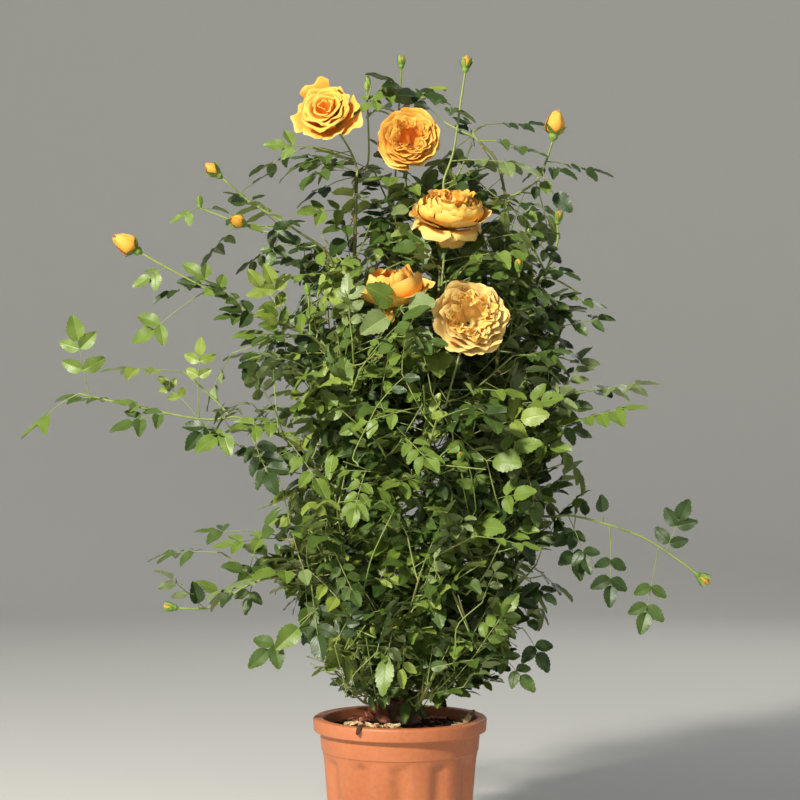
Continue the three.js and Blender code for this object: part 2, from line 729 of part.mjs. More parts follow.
const plant = new THREE.Group();
function add(name, made, material) {
  const { vertProperties, triVerts } = made.getMesh();
  const geometry = new THREE.BufferGeometry();
  geometry.setAttribute("position", new THREE.BufferAttribute(vertProperties, 3));
  geometry.setIndex(new THREE.BufferAttribute(triVerts, 1));
  geometry.computeVertexNormals();
  const mesh = new THREE.Mesh(geometry, material);
  mesh.name = name;
  plant.add(mesh);
}

add("pot", pot(), terracotta);
add("potting_mix", pottingMix(), peat);
add("graft_union", graftUnion(), bark);
for (const [name, line] of Object.entries(canes)) add(name, bodySolid(line), bark);
for (const [name, line] of Object.entries(boughs)) add(name, bodySolid(line), greenwood);
for (const own of masses) add(own.name, massSolid(own), leafGreen);

export default plant;
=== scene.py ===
import json
import math

import bpy
import numpy as np
from mathutils import Euler, Matrix, Vector, noise

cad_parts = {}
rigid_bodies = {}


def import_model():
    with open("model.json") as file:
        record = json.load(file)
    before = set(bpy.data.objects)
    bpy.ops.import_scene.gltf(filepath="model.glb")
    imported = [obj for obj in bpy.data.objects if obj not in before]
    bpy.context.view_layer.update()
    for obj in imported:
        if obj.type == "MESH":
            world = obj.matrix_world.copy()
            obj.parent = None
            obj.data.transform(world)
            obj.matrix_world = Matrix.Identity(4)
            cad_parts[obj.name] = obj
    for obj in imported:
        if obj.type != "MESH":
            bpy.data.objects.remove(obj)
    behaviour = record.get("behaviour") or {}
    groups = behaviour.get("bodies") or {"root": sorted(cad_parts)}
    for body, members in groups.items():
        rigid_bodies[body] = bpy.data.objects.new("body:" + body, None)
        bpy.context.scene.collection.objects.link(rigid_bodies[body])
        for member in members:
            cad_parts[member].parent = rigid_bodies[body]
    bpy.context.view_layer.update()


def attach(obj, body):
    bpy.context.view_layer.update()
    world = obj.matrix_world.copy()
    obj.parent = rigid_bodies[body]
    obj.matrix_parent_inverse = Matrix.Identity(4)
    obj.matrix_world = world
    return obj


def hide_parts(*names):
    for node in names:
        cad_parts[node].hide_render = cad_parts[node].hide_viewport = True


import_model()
scene = bpy.context.scene
MM = 0.001


# Camera, floor and light.
# The plant is seen from the front at half its height, with the lens tipped up a little. A pale floor that
# rises all round stands in for a studio cove. A small lamp at the upper left gives the light its direction,
# and two wide ones soften the shade.
IMAGE_SIDE = 800
FOCAL_PIXELS = 1800
SENSOR_WIDTH = 36
CAMERA_PLACE = (0.0, -2.48, 0.585)
CAMERA_PITCH = math.radians(1.59)
FLOOR_FLAT = 4.0
FLOOR_ROUND = 3.0
FLOOR_RISE = 1.5
FLOOR_TURNS = 96
FLOOR_STEPS = 24
PINHOLE = 0.001

camera_data = bpy.data.cameras.new("camera")
camera_data.sensor_width = SENSOR_WIDTH
camera_data.lens = FOCAL_PIXELS * SENSOR_WIDTH / IMAGE_SIDE
camera = bpy.data.objects.new("camera", camera_data)
camera.location = CAMERA_PLACE
camera.rotation_euler = (math.pi / 2 + CAMERA_PITCH, 0, 0)
scene.collection.objects.link(camera)
scene.camera = camera


def linear(red, green, blue):
    """A colour given in the usual 0 to 255 steps, as the shader's linear values."""
    parts = [c / 255 for c in (red, green, blue)]
    return tuple(c / 12.92 if c <= 0.04045 else ((c + 0.055) / 1.055) ** 2.4 for c in parts) + (1.0,)


def shader(name, color, roughness, specular=0.5):
    """A material with one Principled shader, and its node tree and shader to build on."""
    material = bpy.data.materials.new(name)
    material.use_nodes = True
    tree = material.node_tree
    surface = tree.nodes["Principled BSDF"]
    surface.inputs["Base Color"].default_value = color
    surface.inputs["Roughness"].default_value = roughness
    surface.inputs["Specular IOR Level"].default_value = specular
    return material, tree, surface


def mesh_piece(name, points, faces, material, smooth=True):
    """A mesh object at the origin, from points in metres and faces."""
    mesh = bpy.data.meshes.new(name)
    mesh.from_pydata([tuple(p) for p in points], [], [tuple(f) for f in faces])
    mesh.materials.append(material)
    mesh.polygons.foreach_set("use_smooth", [smooth] * len(mesh.polygons))
    mesh.update()
    piece = bpy.data.objects.new(name, mesh)
    scene.collection.objects.link(piece)
    return piece


def ring(radius, z, turns, middle=(0.0, 0.0)):
    """Points on a level circle."""
    angles = [2 * math.pi * i / turns for i in range(turns)]
    return [(middle[0] + radius * math.cos(a), middle[1] + radius * math.sin(a), z) for a in angles]


def lathe_faces(rows, turns, closed_profile=False):
    """Faces between rows of points that go once round an axis."""
    faces = []
    for row in range(rows if closed_profile else rows - 1):
        low, high = row * turns, (row + 1) % rows * turns
        for i in range(turns):
            after = (i + 1) % turns
            faces.append((low + i, low + after, high + after, high + i))
    return faces


def end_caps(rows, turns):
    """The two faces that close the first and the last of such rows."""
    last = (rows - 1) * turns
    return [tuple(range(turns - 1, -1, -1)), tuple(range(last, last + turns))]


floor_finish, _, _ = shader("pale_floor", linear(214, 214, 210), 0.9, 0.2)
floor_rows = [(PINHOLE, 0.0), (1.0, 0.0), (FLOOR_FLAT, 0.0)]
for step in range(1, FLOOR_STEPS + 1):
    turn = step / FLOOR_STEPS * math.pi / 2
    floor_rows.append((FLOOR_FLAT + FLOOR_ROUND * math.sin(turn), FLOOR_ROUND * (1 - math.cos(turn))))
floor_rows.append((FLOOR_FLAT + FLOOR_ROUND, FLOOR_ROUND + FLOOR_RISE))
floor_points = [point for r, z in floor_rows for point in ring(r, z, FLOOR_TURNS)]
floor = mesh_piece("floor", floor_points, lathe_faces(len(floor_rows), FLOOR_TURNS), floor_finish)


def lamp(name, place, aim, side, watts, color):
    """A square lamp of a side in metres that shines at a place."""
    light = bpy.data.lights.new(name, "AREA")
    light.size = side
    light.energy = watts
    light.color = color
    holder = bpy.data.objects.new(name, light)
    holder.location = place
    holder.rotation_euler = (Vector(aim) - Vector(place)).to_track_quat("-Z", "Y").to_euler()
    scene.collection.objects.link(holder)


lamp("key_lamp", (-2.0, -2.85, 2.75), (0.0, 0.0, 0.6), 0.34, 264, (1.0, 0.95, 0.86))
lamp("fill_lamp", (-0.4, -3.4, 1.3), (0.0, 0.0, 0.7), 2.0, 10, (0.92, 0.96, 1.0))
lamp("back_lamp", (1.6, 3.0, 2.6), (0.0, 0.0, 0.7), 1.6, 26, (1.0, 0.98, 0.95))
world = bpy.data.worlds.new("studio")
world.use_nodes = True
sky = world.node_tree.nodes["Background"]
sky.inputs["Color"].default_value = (0.86, 0.92, 1.0, 1.0)
sky.inputs["Strength"].default_value = 0.19
scene.world = world
scene.view_settings.view_transform = "Standard"


# The pot.
# A nursery pot of terracotta-coloured plastic, blown in one mould: twelve shallow flutes, a plain band above
# them and a heavy rolled rim, with six drain holes cut through its flat base.
POT_HEIGHT = 0.220
RIM_RADIUS = 0.119
RIM_FOOT = 0.202
RIM_MIDDLE = 0.210
BAND_FOOT = 0.175
BAND_RELIEF = 0.0012
BAND_HEIGHTS = (0.182, 0.190, 0.197)
BASE_RADIUS = 0.0916
WALL_SLOPE = 0.084
WALL_INSET = 0.0056
WALL_FOOT = 0.006
WALL_STEPS = 44
POT_FLOOR = 0.003
INSIDE_HEIGHTS = (0.205, 0.190, 0.12, 0.04, POT_FLOOR)
FLOOR_RADII = (0.05, 0.004)
EDGE = 0.0015
ROLL = 0.0035
LIP = 0.001
FLUTES = 12
FLUTE_DEPTH = 0.0054
FLUTE_START = (0.012, 0.026)
FLUTE_END = (BAND_FOOT - 0.013, BAND_FOOT - 0.003)
POT_TURNS = 240
DRAIN_HOLES = 6
DRAIN_CIRCLE = 0.058
DRAIN_RADIUS = 0.0055
DRILL_SPAN = (-0.004, 0.008)
DRILL_TURNS = 24


def wall_radius(z):
    return BASE_RADIUS + WALL_SLOPE * z


def inside_radius(z):
    return wall_radius(z) - WALL_INSET


def arc(middle, radius, first, last, steps=5):
    """Points (radius, height) on a round edge of the pot's outline, between two angles in degrees."""
    angles = [math.radians(first + (last - first) * i / steps) for i in range(steps + 1)]
    return [(middle[0] + radius * math.cos(a), middle[1] + radius * math.sin(a)) for a in angles]


def fade(low, high, value):
    """A soft step from 0 to 1 between two limits."""
    share = min(1.0, max(0.0, (value - low) / (high - low)))
    return share * share * (3 - 2 * share)


band_radius = wall_radius(BAND_FOOT) + BAND_RELIEF
rim_seat = wall_radius(RIM_FOOT) + BAND_RELIEF
outline = arc((BASE_RADIUS - EDGE, EDGE), EDGE, -90, 0)
outline += [(wall_radius(z), z) for z in np.linspace(WALL_FOOT, BAND_FOOT - BAND_RELIEF, WALL_STEPS)]
outline += arc((band_radius - EDGE, BAND_FOOT + EDGE), EDGE, -60, 0)
outline += [(wall_radius(z) + BAND_RELIEF, z) for z in BAND_HEIGHTS]
outline += [(rim_seat, RIM_FOOT - LIP), (rim_seat + LIP, RIM_FOOT)]
outline += arc((RIM_RADIUS - LIP - EDGE, RIM_FOOT + EDGE), EDGE, -90, 0)
outline += [(RIM_RADIUS - 0.0004, RIM_MIDDLE)]
outline += arc((RIM_RADIUS - ROLL, POT_HEIGHT - ROLL), ROLL, 0, 90)
outline += arc((inside_radius(POT_HEIGHT) + ROLL, POT_HEIGHT - ROLL), ROLL, 90, 180)
outline += [(inside_radius(z), z) for z in INSIDE_HEIGHTS]
outline += [(r, POT_FLOOR) for r in FLOOR_RADII] + [(r, 0.0) for r in reversed(FLOOR_RADII)]


def fluted(radius, z, angle):
    """The flutes are cut into the outside of the wall, and run out softly at both ends."""
    if not WALL_FOOT <= z <= BAND_FOOT or radius < wall_radius(z):
        return radius
    depth = FLUTE_DEPTH * fade(*FLUTE_START, z) * (1 - fade(*FLUTE_END, z))
    return radius - depth * (0.5 + 0.5 * math.cos(FLUTES * angle)) ** 2


pot_points = []
for radius, z in outline:
    for i in range(POT_TURNS):
        angle = 2 * math.pi * i / POT_TURNS
        r = fluted(radius, z, angle)
        pot_points.append((r * math.cos(angle), r * math.sin(angle), z))
pot_faces = lathe_faces(len(outline), POT_TURNS, closed_profile=True)


def speckle(name):
    """A group that gives uneven values over a surface: broad patches, and a fine grain on top."""
    group = bpy.data.node_groups.new(name, "ShaderNodeTree")
    for socket, value in (("Patch Scale", 12.0), ("Grain Scale", 300.0), ("Grain Share", 0.4)):
        made = group.interface.new_socket(socket, in_out="INPUT", socket_type="NodeSocketFloat")
        made.default_value = value
    group.interface.new_socket("Value", in_out="OUTPUT", socket_type="NodeSocketFloat")
    nodes, links = group.nodes, group.links
    entry, leave_node = nodes.new("NodeGroupInput"), nodes.new("NodeGroupOutput")
    place_node = nodes.new("ShaderNodeTexCoord")
    patches, grain = nodes.new("ShaderNodeTexNoise"), nodes.new("ShaderNodeTexNoise")
    patches.inputs["Detail"].default_value = 5
    grain.inputs["Detail"].default_value = 2
    for texture, scale in ((patches, "Patch Scale"), (grain, "Grain Scale")):
        links.new(place_node.outputs["Object"], texture.inputs["Vector"])
        links.new(entry.outputs[scale], texture.inputs["Scale"])
    mix = nodes.new("ShaderNodeMix")
    links.new(entry.outputs["Grain Share"], mix.inputs["Factor"])
    links.new(patches.outputs["Fac"], mix.inputs["A"])
    links.new(grain.outputs["Fac"], mix.inputs["B"])
    links.new(mix.outputs["Result"], leave_node.inputs["Value"])
    return group


SPECKLE = speckle("uneven_surface")


def uneven(tree, patch, grain, share):
    """The group, placed in a material with its own values."""
    node = tree.nodes.new("ShaderNodeGroup")
    node.node_tree = SPECKLE
    for socket, value in (("Patch Scale", patch), ("Grain Scale", grain), ("Grain Share", share)):
        node.inputs[socket].default_value = value
    return node.outputs["Value"]


def ramp(tree, value, stops):
    """A colour ramp with the stops given as (place, colour)."""
    node = tree.nodes.new("ShaderNodeValToRGB")
    elements = node.color_ramp.elements
    while len(elements) < len(stops):
        elements.new(0.5)
    for element, (at, color) in zip(elements, stops):
        element.position = at
        element.color = color
    tree.links.new(value, node.inputs["Fac"])
    return node.outputs["Color"]


def relief(tree, surface, value, strength, depth):
    """A bump from a value, joined to the shader's normal."""
    bump = tree.nodes.new("ShaderNodeBump")
    bump.inputs["Strength"].default_value = strength
    bump.inputs["Distance"].default_value = depth
    tree.links.new(value, bump.inputs["Height"])
    tree.links.new(bump.outputs["Normal"], surface.inputs["Normal"])


def ranged(tree, value, low, high, new_low, new_high):
    """A value carried from one range to another."""
    node = tree.nodes.new("ShaderNodeMapRange")
    for socket, number in (("From Min", low), ("From Max", high), ("To Min", new_low), ("To Max", new_high)):
        node.inputs[socket].default_value = number
    tree.links.new(value, node.inputs["Value"])
    return node.outputs["Result"]


def mixed(tree, factor, first, second, way="MIX"):
    """Two colours mixed by a value; each may be a colour or a socket."""
    node = tree.nodes.new("ShaderNodeMix")
    node.data_type = "RGBA"
    node.blend_type = way
    for socket, value in ((node.inputs["Factor"], factor), (node.inputs[6], first), (node.inputs[7], second)):
        if isinstance(value, bpy.types.NodeSocket):
            tree.links.new(value, socket)
        else:
            socket.default_value = value
    return node.outputs[2]


plastic, tree, surface = shader("terracotta_plastic", linear(184, 108, 68), 0.4)
tone = uneven(tree, 9, 160, 0.3)
tints = ((0.35, linear(176, 100, 60)), (0.5, linear(188, 112, 70)), (0.68, linear(196, 122, 80)))
tint = ramp(tree, tone, tints)
height_node = tree.nodes.new("ShaderNodeSeparateXYZ")
place_node = tree.nodes.new("ShaderNodeTexCoord")
tree.links.new(place_node.outputs["Object"], height_node.inputs["Vector"])
dusty = ranged(tree, height_node.outputs["Z"], 0.0, 0.05, 0.5, 0.0)
tint = mixed(tree, dusty, tint, linear(176, 138, 110))
tree.links.new(tint, surface.inputs["Base Color"])
tree.links.new(ranged(tree, tone, 0.3, 0.7, 0.36, 0.56), surface.inputs["Roughness"])
relief(tree, surface, uneven(tree, 60, 900, 0.6), 0.12, 0.0006)

pot = mesh_piece("pot_shell", pot_points, pot_faces, plastic)
drills = []
for i in range(DRAIN_HOLES):
    angle = 2 * math.pi * (i + 0.5) / DRAIN_HOLES
    middle = (DRAIN_CIRCLE * math.cos(angle), DRAIN_CIRCLE * math.sin(angle))
    drill_points = [point for z in DRILL_SPAN for point in ring(DRAIN_RADIUS, z, DRILL_TURNS, middle)]
    drill_faces = lathe_faces(2, DRILL_TURNS) + end_caps(2, DRILL_TURNS)
    drill = mesh_piece(f"drill_{i}", drill_points, drill_faces, plastic, smooth=False)
    cut = pot.modifiers.new(drill.name, "BOOLEAN")
    cut.operation = "DIFFERENCE"
    cut.object = drill
    drills.append(drill)


def evaluated(piece):
    """The mesh of an object with its modifiers worked in."""
    return bpy.data.meshes.new_from_object(piece.evaluated_get(bpy.context.evaluated_depsgraph_get()))


cut_mesh = evaluated(pot)
pot.modifiers.clear()
pot.data = cut_mesh
for drill in drills:
    bpy.data.objects.remove(drill)
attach(pot, "root")
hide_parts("pot")


# The potting mix.
# Dark fibrous peat, mounded towards the stems and pulled into crumbs by watering. It fills the pot to a
# finger's width below the rim, and is heaped a little by the front wall.
MIX_LEVEL = 0.205
MIX_CROWN = 0.211
MIX_SINK = 0.001
MIX_GAP = 0.0006
MIX_SIDE_HEIGHTS = (POT_FLOOR + 0.0004, 0.10, 0.19)
MIX_TURNS = 120
MIX_ROWS = 26
CRUMB_RELIEF = 0.0022
LUMP_RELIEF = 0.0025
HEAP_HEIGHT = 0.008


def mix_height(x, y):
    share = math.hypot(x, y) / inside_radius(MIX_LEVEL)
    crumbs = CRUMB_RELIEF * noise.fractal(Vector((x, y, 0.3)) * 90, 0.8, 2.1, 4)
    lumps = LUMP_RELIEF * noise.noise(Vector((x, y, 4.0)) * 28)
    heap = HEAP_HEIGHT * fade(0.062, 0.092, -y) * (1 - fade(0.035, 0.07, abs(x + 0.03)))
    return MIX_CROWN - MIX_SINK - (MIX_CROWN - MIX_LEVEL) * share**2 + crumbs + lumps + heap


def speckled(name, base, roughness, specular, grain, tints, bump=None):
    """A mottled finish. Its tints, each a place and a colour, lie along the uneven values of its grain."""
    material, tree, surface = shader(name, linear(*base), roughness, specular)
    tone = uneven(tree, *grain)
    tint = ramp(tree, tone, [(at, linear(*color)) for at, *color in tints])
    tree.links.new(tint, surface.inputs["Base Color"])
    if bump:
        relief(tree, surface, tone, *bump)
    return material


mix_points = []
for z in MIX_SIDE_HEIGHTS:
    mix_points += ring(inside_radius(z) - MIX_GAP, z, MIX_TURNS)
for row in range(MIX_ROWS):
    share = 1 - row / (MIX_ROWS - 1)
    r = max(PINHOLE, share * (inside_radius(MIX_LEVEL) - MIX_GAP))
    mix_points += [(x, y, mix_height(x, y)) for x, y, _ in ring(r, MIX_LEVEL, MIX_TURNS)]
mix_rows = len(MIX_SIDE_HEIGHTS) + MIX_ROWS
mix_faces = lathe_faces(mix_rows, MIX_TURNS) + end_caps(mix_rows, MIX_TURNS)
peat_tints = [(0.3, 22, 15, 11), (0.5, 50, 35, 26), (0.64, 86, 62, 46), (0.75, 120, 92, 70)]
peat = speckled("potting_mix", (48, 34, 25), 0.95, 0.25, (70, 420, 0.55), peat_tints, (0.9, 0.004))
mix = mesh_piece("potting_mix_surface", mix_points, mix_faces, peat)
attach(mix, "root")
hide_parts("potting_mix")


# Bark chips, crumbs and dry scraps on the mix.
# Red-brown pieces of pine bark, darker crumbs and pale dry leaf stalks lie where they fell. A node tree
# scatters them over the mix with a fixed seed, and makes them real. The larger pieces are laid one by one.
STEMS_AT = 0.002
STEM_ROOM = 0.024
LOWEST_CHIP = 0.198
CHIP_SIDES = 7
PALE_CHIPS = 58


def geometry_tree(name, output, **inputs):
    """A new node tree with named inputs, its nodes and links, and the sockets at its two ends."""
    group = bpy.data.node_groups.new(name, "GeometryNodeTree")
    for socket, kind in inputs.items():
        group.interface.new_socket(socket, in_out="INPUT", socket_type="NodeSocket" + kind)
    group.interface.new_socket(output, in_out="OUTPUT", socket_type="NodeSocketGeometry")
    nodes = group.nodes
    given, result = nodes.new("NodeGroupInput").outputs, nodes.new("NodeGroupOutput").inputs
    return group, nodes, group.links, given, result


def stood_shapes(nodes, links, given, points, turn, size):
    """The given shapes stood on points, made real and painted: the node that stands them, and the outcome."""
    shapes = nodes.new("GeometryNodeCollectionInfo")
    shapes.inputs["Separate Children"].default_value = True
    shapes.inputs["Reset Children"].default_value = True
    stand = nodes.new("GeometryNodeInstanceOnPoints")
    stand.inputs["Pick Instance"].default_value = True
    real, paint = nodes.new("GeometryNodeRealizeInstances"), nodes.new("GeometryNodeSetMaterial")
    links.new(given["Shapes"], shapes.inputs["Collection"])
    links.new(points, stand.inputs["Points"])
    links.new(shapes.outputs[0], stand.inputs["Instance"])
    links.new(turn, stand.inputs["Rotation"])
    links.new(size, stand.inputs["Scale"])
    links.new(stand.outputs[0], real.inputs[0])
    links.new(real.outputs[0], paint.inputs["Geometry"])
    links.new(given["Finish"], paint.inputs["Material"])
    return stand, paint.outputs[0]


def scatter_tree():
    group, nodes, links, given, result = geometry_tree(
        "scatter_on_surface", "Chips",
        Ground="Geometry", Shapes="Collection", Density="Float", Smallest="Float", Largest="Float",
        Lean="Float", Seed="Int", Finish="Material",
    )
    spots = nodes.new("GeometryNodeDistributePointsOnFaces")
    turn, size = nodes.new("FunctionNodeRandomValue"), nodes.new("FunctionNodeRandomValue")
    turn.data_type = "FLOAT_VECTOR"
    low, high = nodes.new("ShaderNodeCombineXYZ"), nodes.new("ShaderNodeCombineXYZ")
    high.inputs["Z"].default_value = 2 * math.pi
    flip = nodes.new("ShaderNodeMath")
    flip.operation = "MULTIPLY"
    flip.inputs[1].default_value = -1
    euler = nodes.new("FunctionNodeEulerToRotation")
    links.new(given["Ground"], spots.inputs["Mesh"])
    links.new(given["Density"], spots.inputs["Density"])
    links.new(given["Lean"], flip.inputs[0])
    for axis in ("X", "Y"):
        links.new(flip.outputs[0], low.inputs[axis])
        links.new(given["Lean"], high.inputs[axis])
    links.new(low.outputs[0], turn.inputs["Min"])
    links.new(high.outputs[0], turn.inputs["Max"])
    links.new(given["Smallest"], size.inputs[2])
    links.new(given["Largest"], size.inputs[3])
    for node in (spots, turn, size):
        links.new(given["Seed"], node.inputs["Seed"])
    links.new(turn.outputs["Value"], euler.inputs[0])
    _, chips = stood_shapes(nodes, links, given, spots.outputs["Points"], euler.outputs[0], size.outputs[1])
    links.new(chips, result[0])
    return group


SCATTER = scatter_tree()


def grown(name, source, tree, **values):
    """What a node tree makes of an object, as a plain mesh of its own; the object is used up."""
    modifier = source.modifiers.new(tree.name, "NODES")
    modifier.node_group = tree
    for item in tree.interface.items_tree:
        if item.in_out == "INPUT" and item.name in values:
            modifier[item.identifier] = values[item.name]
    mesh = evaluated(source)
    bpy.data.objects.remove(source)
    piece = bpy.data.objects.new(name, mesh)
    scene.collection.objects.link(piece)
    return piece


def shape_box(name, pieces):
    """A collection of small shapes, kept out of the scene, for a node tree to choose from."""
    box = bpy.data.collections.new(name)
    for piece in pieces:
        scene.collection.objects.unlink(piece)
        box.objects.link(piece)
    return box


def emptied(box):
    """Takes such a collection away again, with its shapes."""
    for piece in list(box.objects):
        bpy.data.objects.remove(piece)
    bpy.data.collections.remove(box)


def chip(name, seed, long, wide, thick, finish):
    """A splintered flake: a flat piece of seven sides a little bent, with its corners pulled about."""
    random = np.random.default_rng(seed)
    points = []
    for z, share in ((-0.5, 0.8), (0.5, 1.0)):
        for i in range(CHIP_SIDES):
            angle = 2 * math.pi * i / CHIP_SIDES
            wobble = 1 + 0.35 * (random.random() - 0.5)
            x = 0.5 * long * share * wobble * math.cos(angle)
            y = 0.5 * wide * share * wobble * math.sin(angle)
            points.append((x, y, thick * (z + 0.5 * random.random() + 1.2 * (x / long) ** 2)))
    faces = lathe_faces(2, CHIP_SIDES) + end_caps(2, CHIP_SIDES)
    return mesh_piece(name, points, faces, finish, smooth=False)


# The bark tints are lighter than the bark's own colour: painted sunlight on chips that lie in the foliage's
# shade.
bark_tints_painted_sunlit = [(0.34, 132, 72, 58), (0.5, 196, 116, 94), (0.68, 224, 166, 136)]
bark_chip = speckled("bark_chip", (136, 70, 50), 0.85, 0.3, (45, 500, 0.45), bark_tints_painted_sunlit, (0.6, 0.002))
scrap_tints = [(0.35, 150, 112, 72), (0.5, 204, 172, 126), (0.66, 232, 214, 178)]
dry_scrap = speckled("dry_scrap", (206, 176, 130), 0.85, 0.3, (60, 400, 0.5), scrap_tints, (0.4, 0.001))
crumb_tints = [(0.35, 28, 19, 14), (0.55, 66, 46, 33), (0.7, 104, 78, 58)]
crumb = speckled("peat_crumb", (60, 42, 30), 0.95, 0.25, (70, 500, 0.5), crumb_tints)


def scattered(name, shapes, keep, **values):
    """Shapes strewn over the mix. Those that keep() turns down, by their middle, are left off."""
    top = bpy.data.objects.new("strewn_on", mix.data.copy())
    scene.collection.objects.link(top)
    box = shape_box(name + "_shapes", shapes)
    made = grown(name, top, SCATTER, Shapes=box, **values)
    emptied(box)
    return kept_parts(made, keep)


def kept_parts(piece, keep):
    """The loose parts of a mesh whose middle keep() allows."""
    mesh = piece.data
    count = len(mesh.vertices)
    spots = np.zeros(count * 3)
    mesh.vertices.foreach_get("co", spots)
    spots = spots.reshape(-1, 3)
    ends = np.zeros(len(mesh.edges) * 2, dtype=np.int64)
    mesh.edges.foreach_get("vertices", ends)
    ends = ends.reshape(-1, 2)
    label = np.arange(count)
    while True:
        low = np.minimum(label[ends[:, 0]], label[ends[:, 1]])
        before = label.copy()
        np.minimum.at(label, ends[:, 0], low)
        np.minimum.at(label, ends[:, 1], low)
        if np.array_equal(before, label):
            break
    sums = np.zeros((count, 3))
    np.add.at(sums, label, spots)
    members = np.bincount(label, minlength=count)
    allowed = {k for k in np.unique(label) if keep(*(sums[k] / members[k]))}
    stays = np.array([k in allowed for k in label])
    number = np.cumsum(stays) - 1
    faces = [[int(number[v]) for v in p.vertices] for p in mesh.polygons if stays[p.vertices[0]]]
    material = mesh.materials[0]
    smooth = mesh.polygons[0].use_smooth
    name = piece.name
    bpy.data.objects.remove(piece)
    return mesh_piece(name, spots[stays], faces, material, smooth)


def on_mix(x, y, z, room):
    """Whether a place on the mix is clear of the wall, by some room, and of the stems."""
    clear_of_wall = math.hypot(x, y) < inside_radius(MIX_LEVEL) - room
    return z > LOWEST_CHIP and clear_of_wall and math.hypot(x - STEMS_AT, y) > STEM_ROOM


crumbs = scattered(
    "peat_crumbs",
    [chip(f"crumb_{i}", 20 + i, 1.0, 0.8, 0.6, crumb) for i in range(3)],
    lambda x, y, z: on_mix(x, y, z, 0.006),
    Density=16000, Smallest=0.0025, Largest=0.007, Lean=1.2, Seed=3, Finish=crumb,
)
chips = scattered(
    "bark_chips",
    [chip(f"flake_{i}", 30 + i, 1.0, 0.55, 0.22, bark_chip) for i in range(4)],
    lambda x, y, z: on_mix(x, y, z, 0.012) and noise.noise(Vector((x, y, 0)) * 16) > -0.12,
    Density=2600, Smallest=0.008, Largest=0.021, Lean=0.35, Seed=8, Finish=bark_chip,
)
scraps = scattered(
    "dry_scraps",
    [chip(f"scrap_{i}", 40 + i, 1.0, 0.28, 0.1, dry_scrap) for i in range(3)],
    lambda x, y, z: on_mix(x, y, z, 0.010) and (y < -0.045 or x > 0.07),
    Density=2600, Smallest=0.006, Largest=0.017, Lean=0.3, Seed=5, Finish=dry_scrap,
)


def laid(name, finish, rows):
    """Flakes laid one by one: middle, length, width and thickness in mm, and turns about the axes in degrees.
    """
    points, faces = [], []
    for k, (x, y, z, long, wide, thick, *turns) in enumerate(rows):
        flake = chip(f"{name}_{k}", 60 + k, long * MM, wide * MM, thick * MM, finish)
        turn = Euler([math.radians(t) for t in turns]).to_matrix()
        faces += [tuple(v + len(points) for v in face.vertices) for face in flake.data.polygons]
        points += [turn @ v.co + Vector((x, y, z)) * MM for v in flake.data.vertices]
        bpy.data.objects.remove(flake)
    return mesh_piece(name, points, faces, finish, smooth=False)


large_chips = laid(
    "large_bark_pieces",
    bark_chip,
    [
        (-36, -8, 219, 30, 16, 5, 22, 34, 20),
        (-27, 2, 227, 28, 15, 5, 20, 40, -30),
        (-42, 10, 217, 26, 15, 5, 24, 20, 60),
        (-24, -20, 218, 28, 14, 5, 34, 26, -12),
        (-50, -12, 214, 24, 14, 5, 20, 12, 100),
        (-18, 22, 225, 26, 14, 5, 20, 36, 24),
        (-58, 22, 213, 22, 13, 4, 24, 8, 30),
    ],
)
# The flake over the front rim wears the dark crumb finish: painted shade on a dry flake that hangs over the
# rim.
rim_flake_painted_shade = laid("dark_flake_over_rim", crumb, [(-53, -107, 218, 17, 7, 2, 10, 62, -116)])

# Pale chips lie thickest along the front wall, where they lean on the rim, and some by the right wall.
draw = np.random.default_rng(11).random
pale_rows = []
for _ in range(PALE_CHIPS):
    x, depth = -72 + 74 * draw(), draw()
    y = -math.sqrt((80 + 20 * depth) ** 2 - x**2)
    z = 210 + 10 * depth + 3 * draw()
    turns = (50 * draw() - 5, 40 * (draw() - 0.5), 360 * draw())
    pale_rows.append((x, y, z, 8 + 8 * draw(), 5 + 3 * draw(), 2.6, *turns))
pale_rows += [
    (89, -22, 215, 20, 7, 2, 30, 20, 40),
    (93, 2, 217, 22, 6, 2, 20, -24, 80),
    (87, 26, 215, 18, 7, 2, 34, 10, 120),
    (96, -8, 221, 16, 5, 2, 40, 0, 100),
    (82, -44, 214, 26, 9, 2, 40, 16, 10),
    (90, -34, 219, 24, 8, 2, 34, -20, 60),
    (78, -58, 213, 22, 9, 2, 36, 8, -30),
    (98, 12, 222, 22, 8, 2, 30, 30, 130),
]
pale_chips = laid("pale_wood_chips", dry_scrap, pale_rows)
for piece in (crumbs, chips, scraps, large_chips, rim_flake_painted_shade, pale_chips):
    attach(piece, "root")


# The graft union, canes and boughs.
# Five canes rise from the knobbly graft union. The wood is brown and fissured at the foot, and turns into
# smooth green bark with short swellings at each old leaf scar further up. Boughs leave the canes and taper
# to their tips.
UNION_FOOT = 0.2113
UNION_HEIGHT = 0.034
UNION_RADIUS = 0.017
UNION_TURNS = 48
UNION_MIDDLE = np.array((0.002, 0.0, UNION_FOOT + 0.5 * UNION_HEIGHT))
UNION_FLARE = [(0, 25), (0.07, 21.5), (0.14, 19), (0.34, 17)]
UNION_ROWS = [*UNION_FLARE, (0.5, 17.8), (0.62, 18), (0.76, 15.6), (0.85, 13), (1, 7)]
CANE_RADIUS = 0.0046
CANE_TIP_RADIUS = 0.0023
CANE_RISE = 0.8
BOUGH_RADIUS = 0.0024
BOUGH_TIP_RADIUS = 0.0017
GAP = 0.0003
LEAD = 0.3
SCAR_STEP = 0.043
SCAR_WIDTH = 0.0022
SCAR_SWELL = 0.16
BROWN_BELOW = 0.2
GREENING = 0.32
LEAF_TURN = 2.4
FINE = 5
UP = np.array((0.0, 0.0, 1.0))
ACROSS = np.array((1.0, 0.0, 0.0))


def unit(v):
    return v / np.linalg.norm(v)


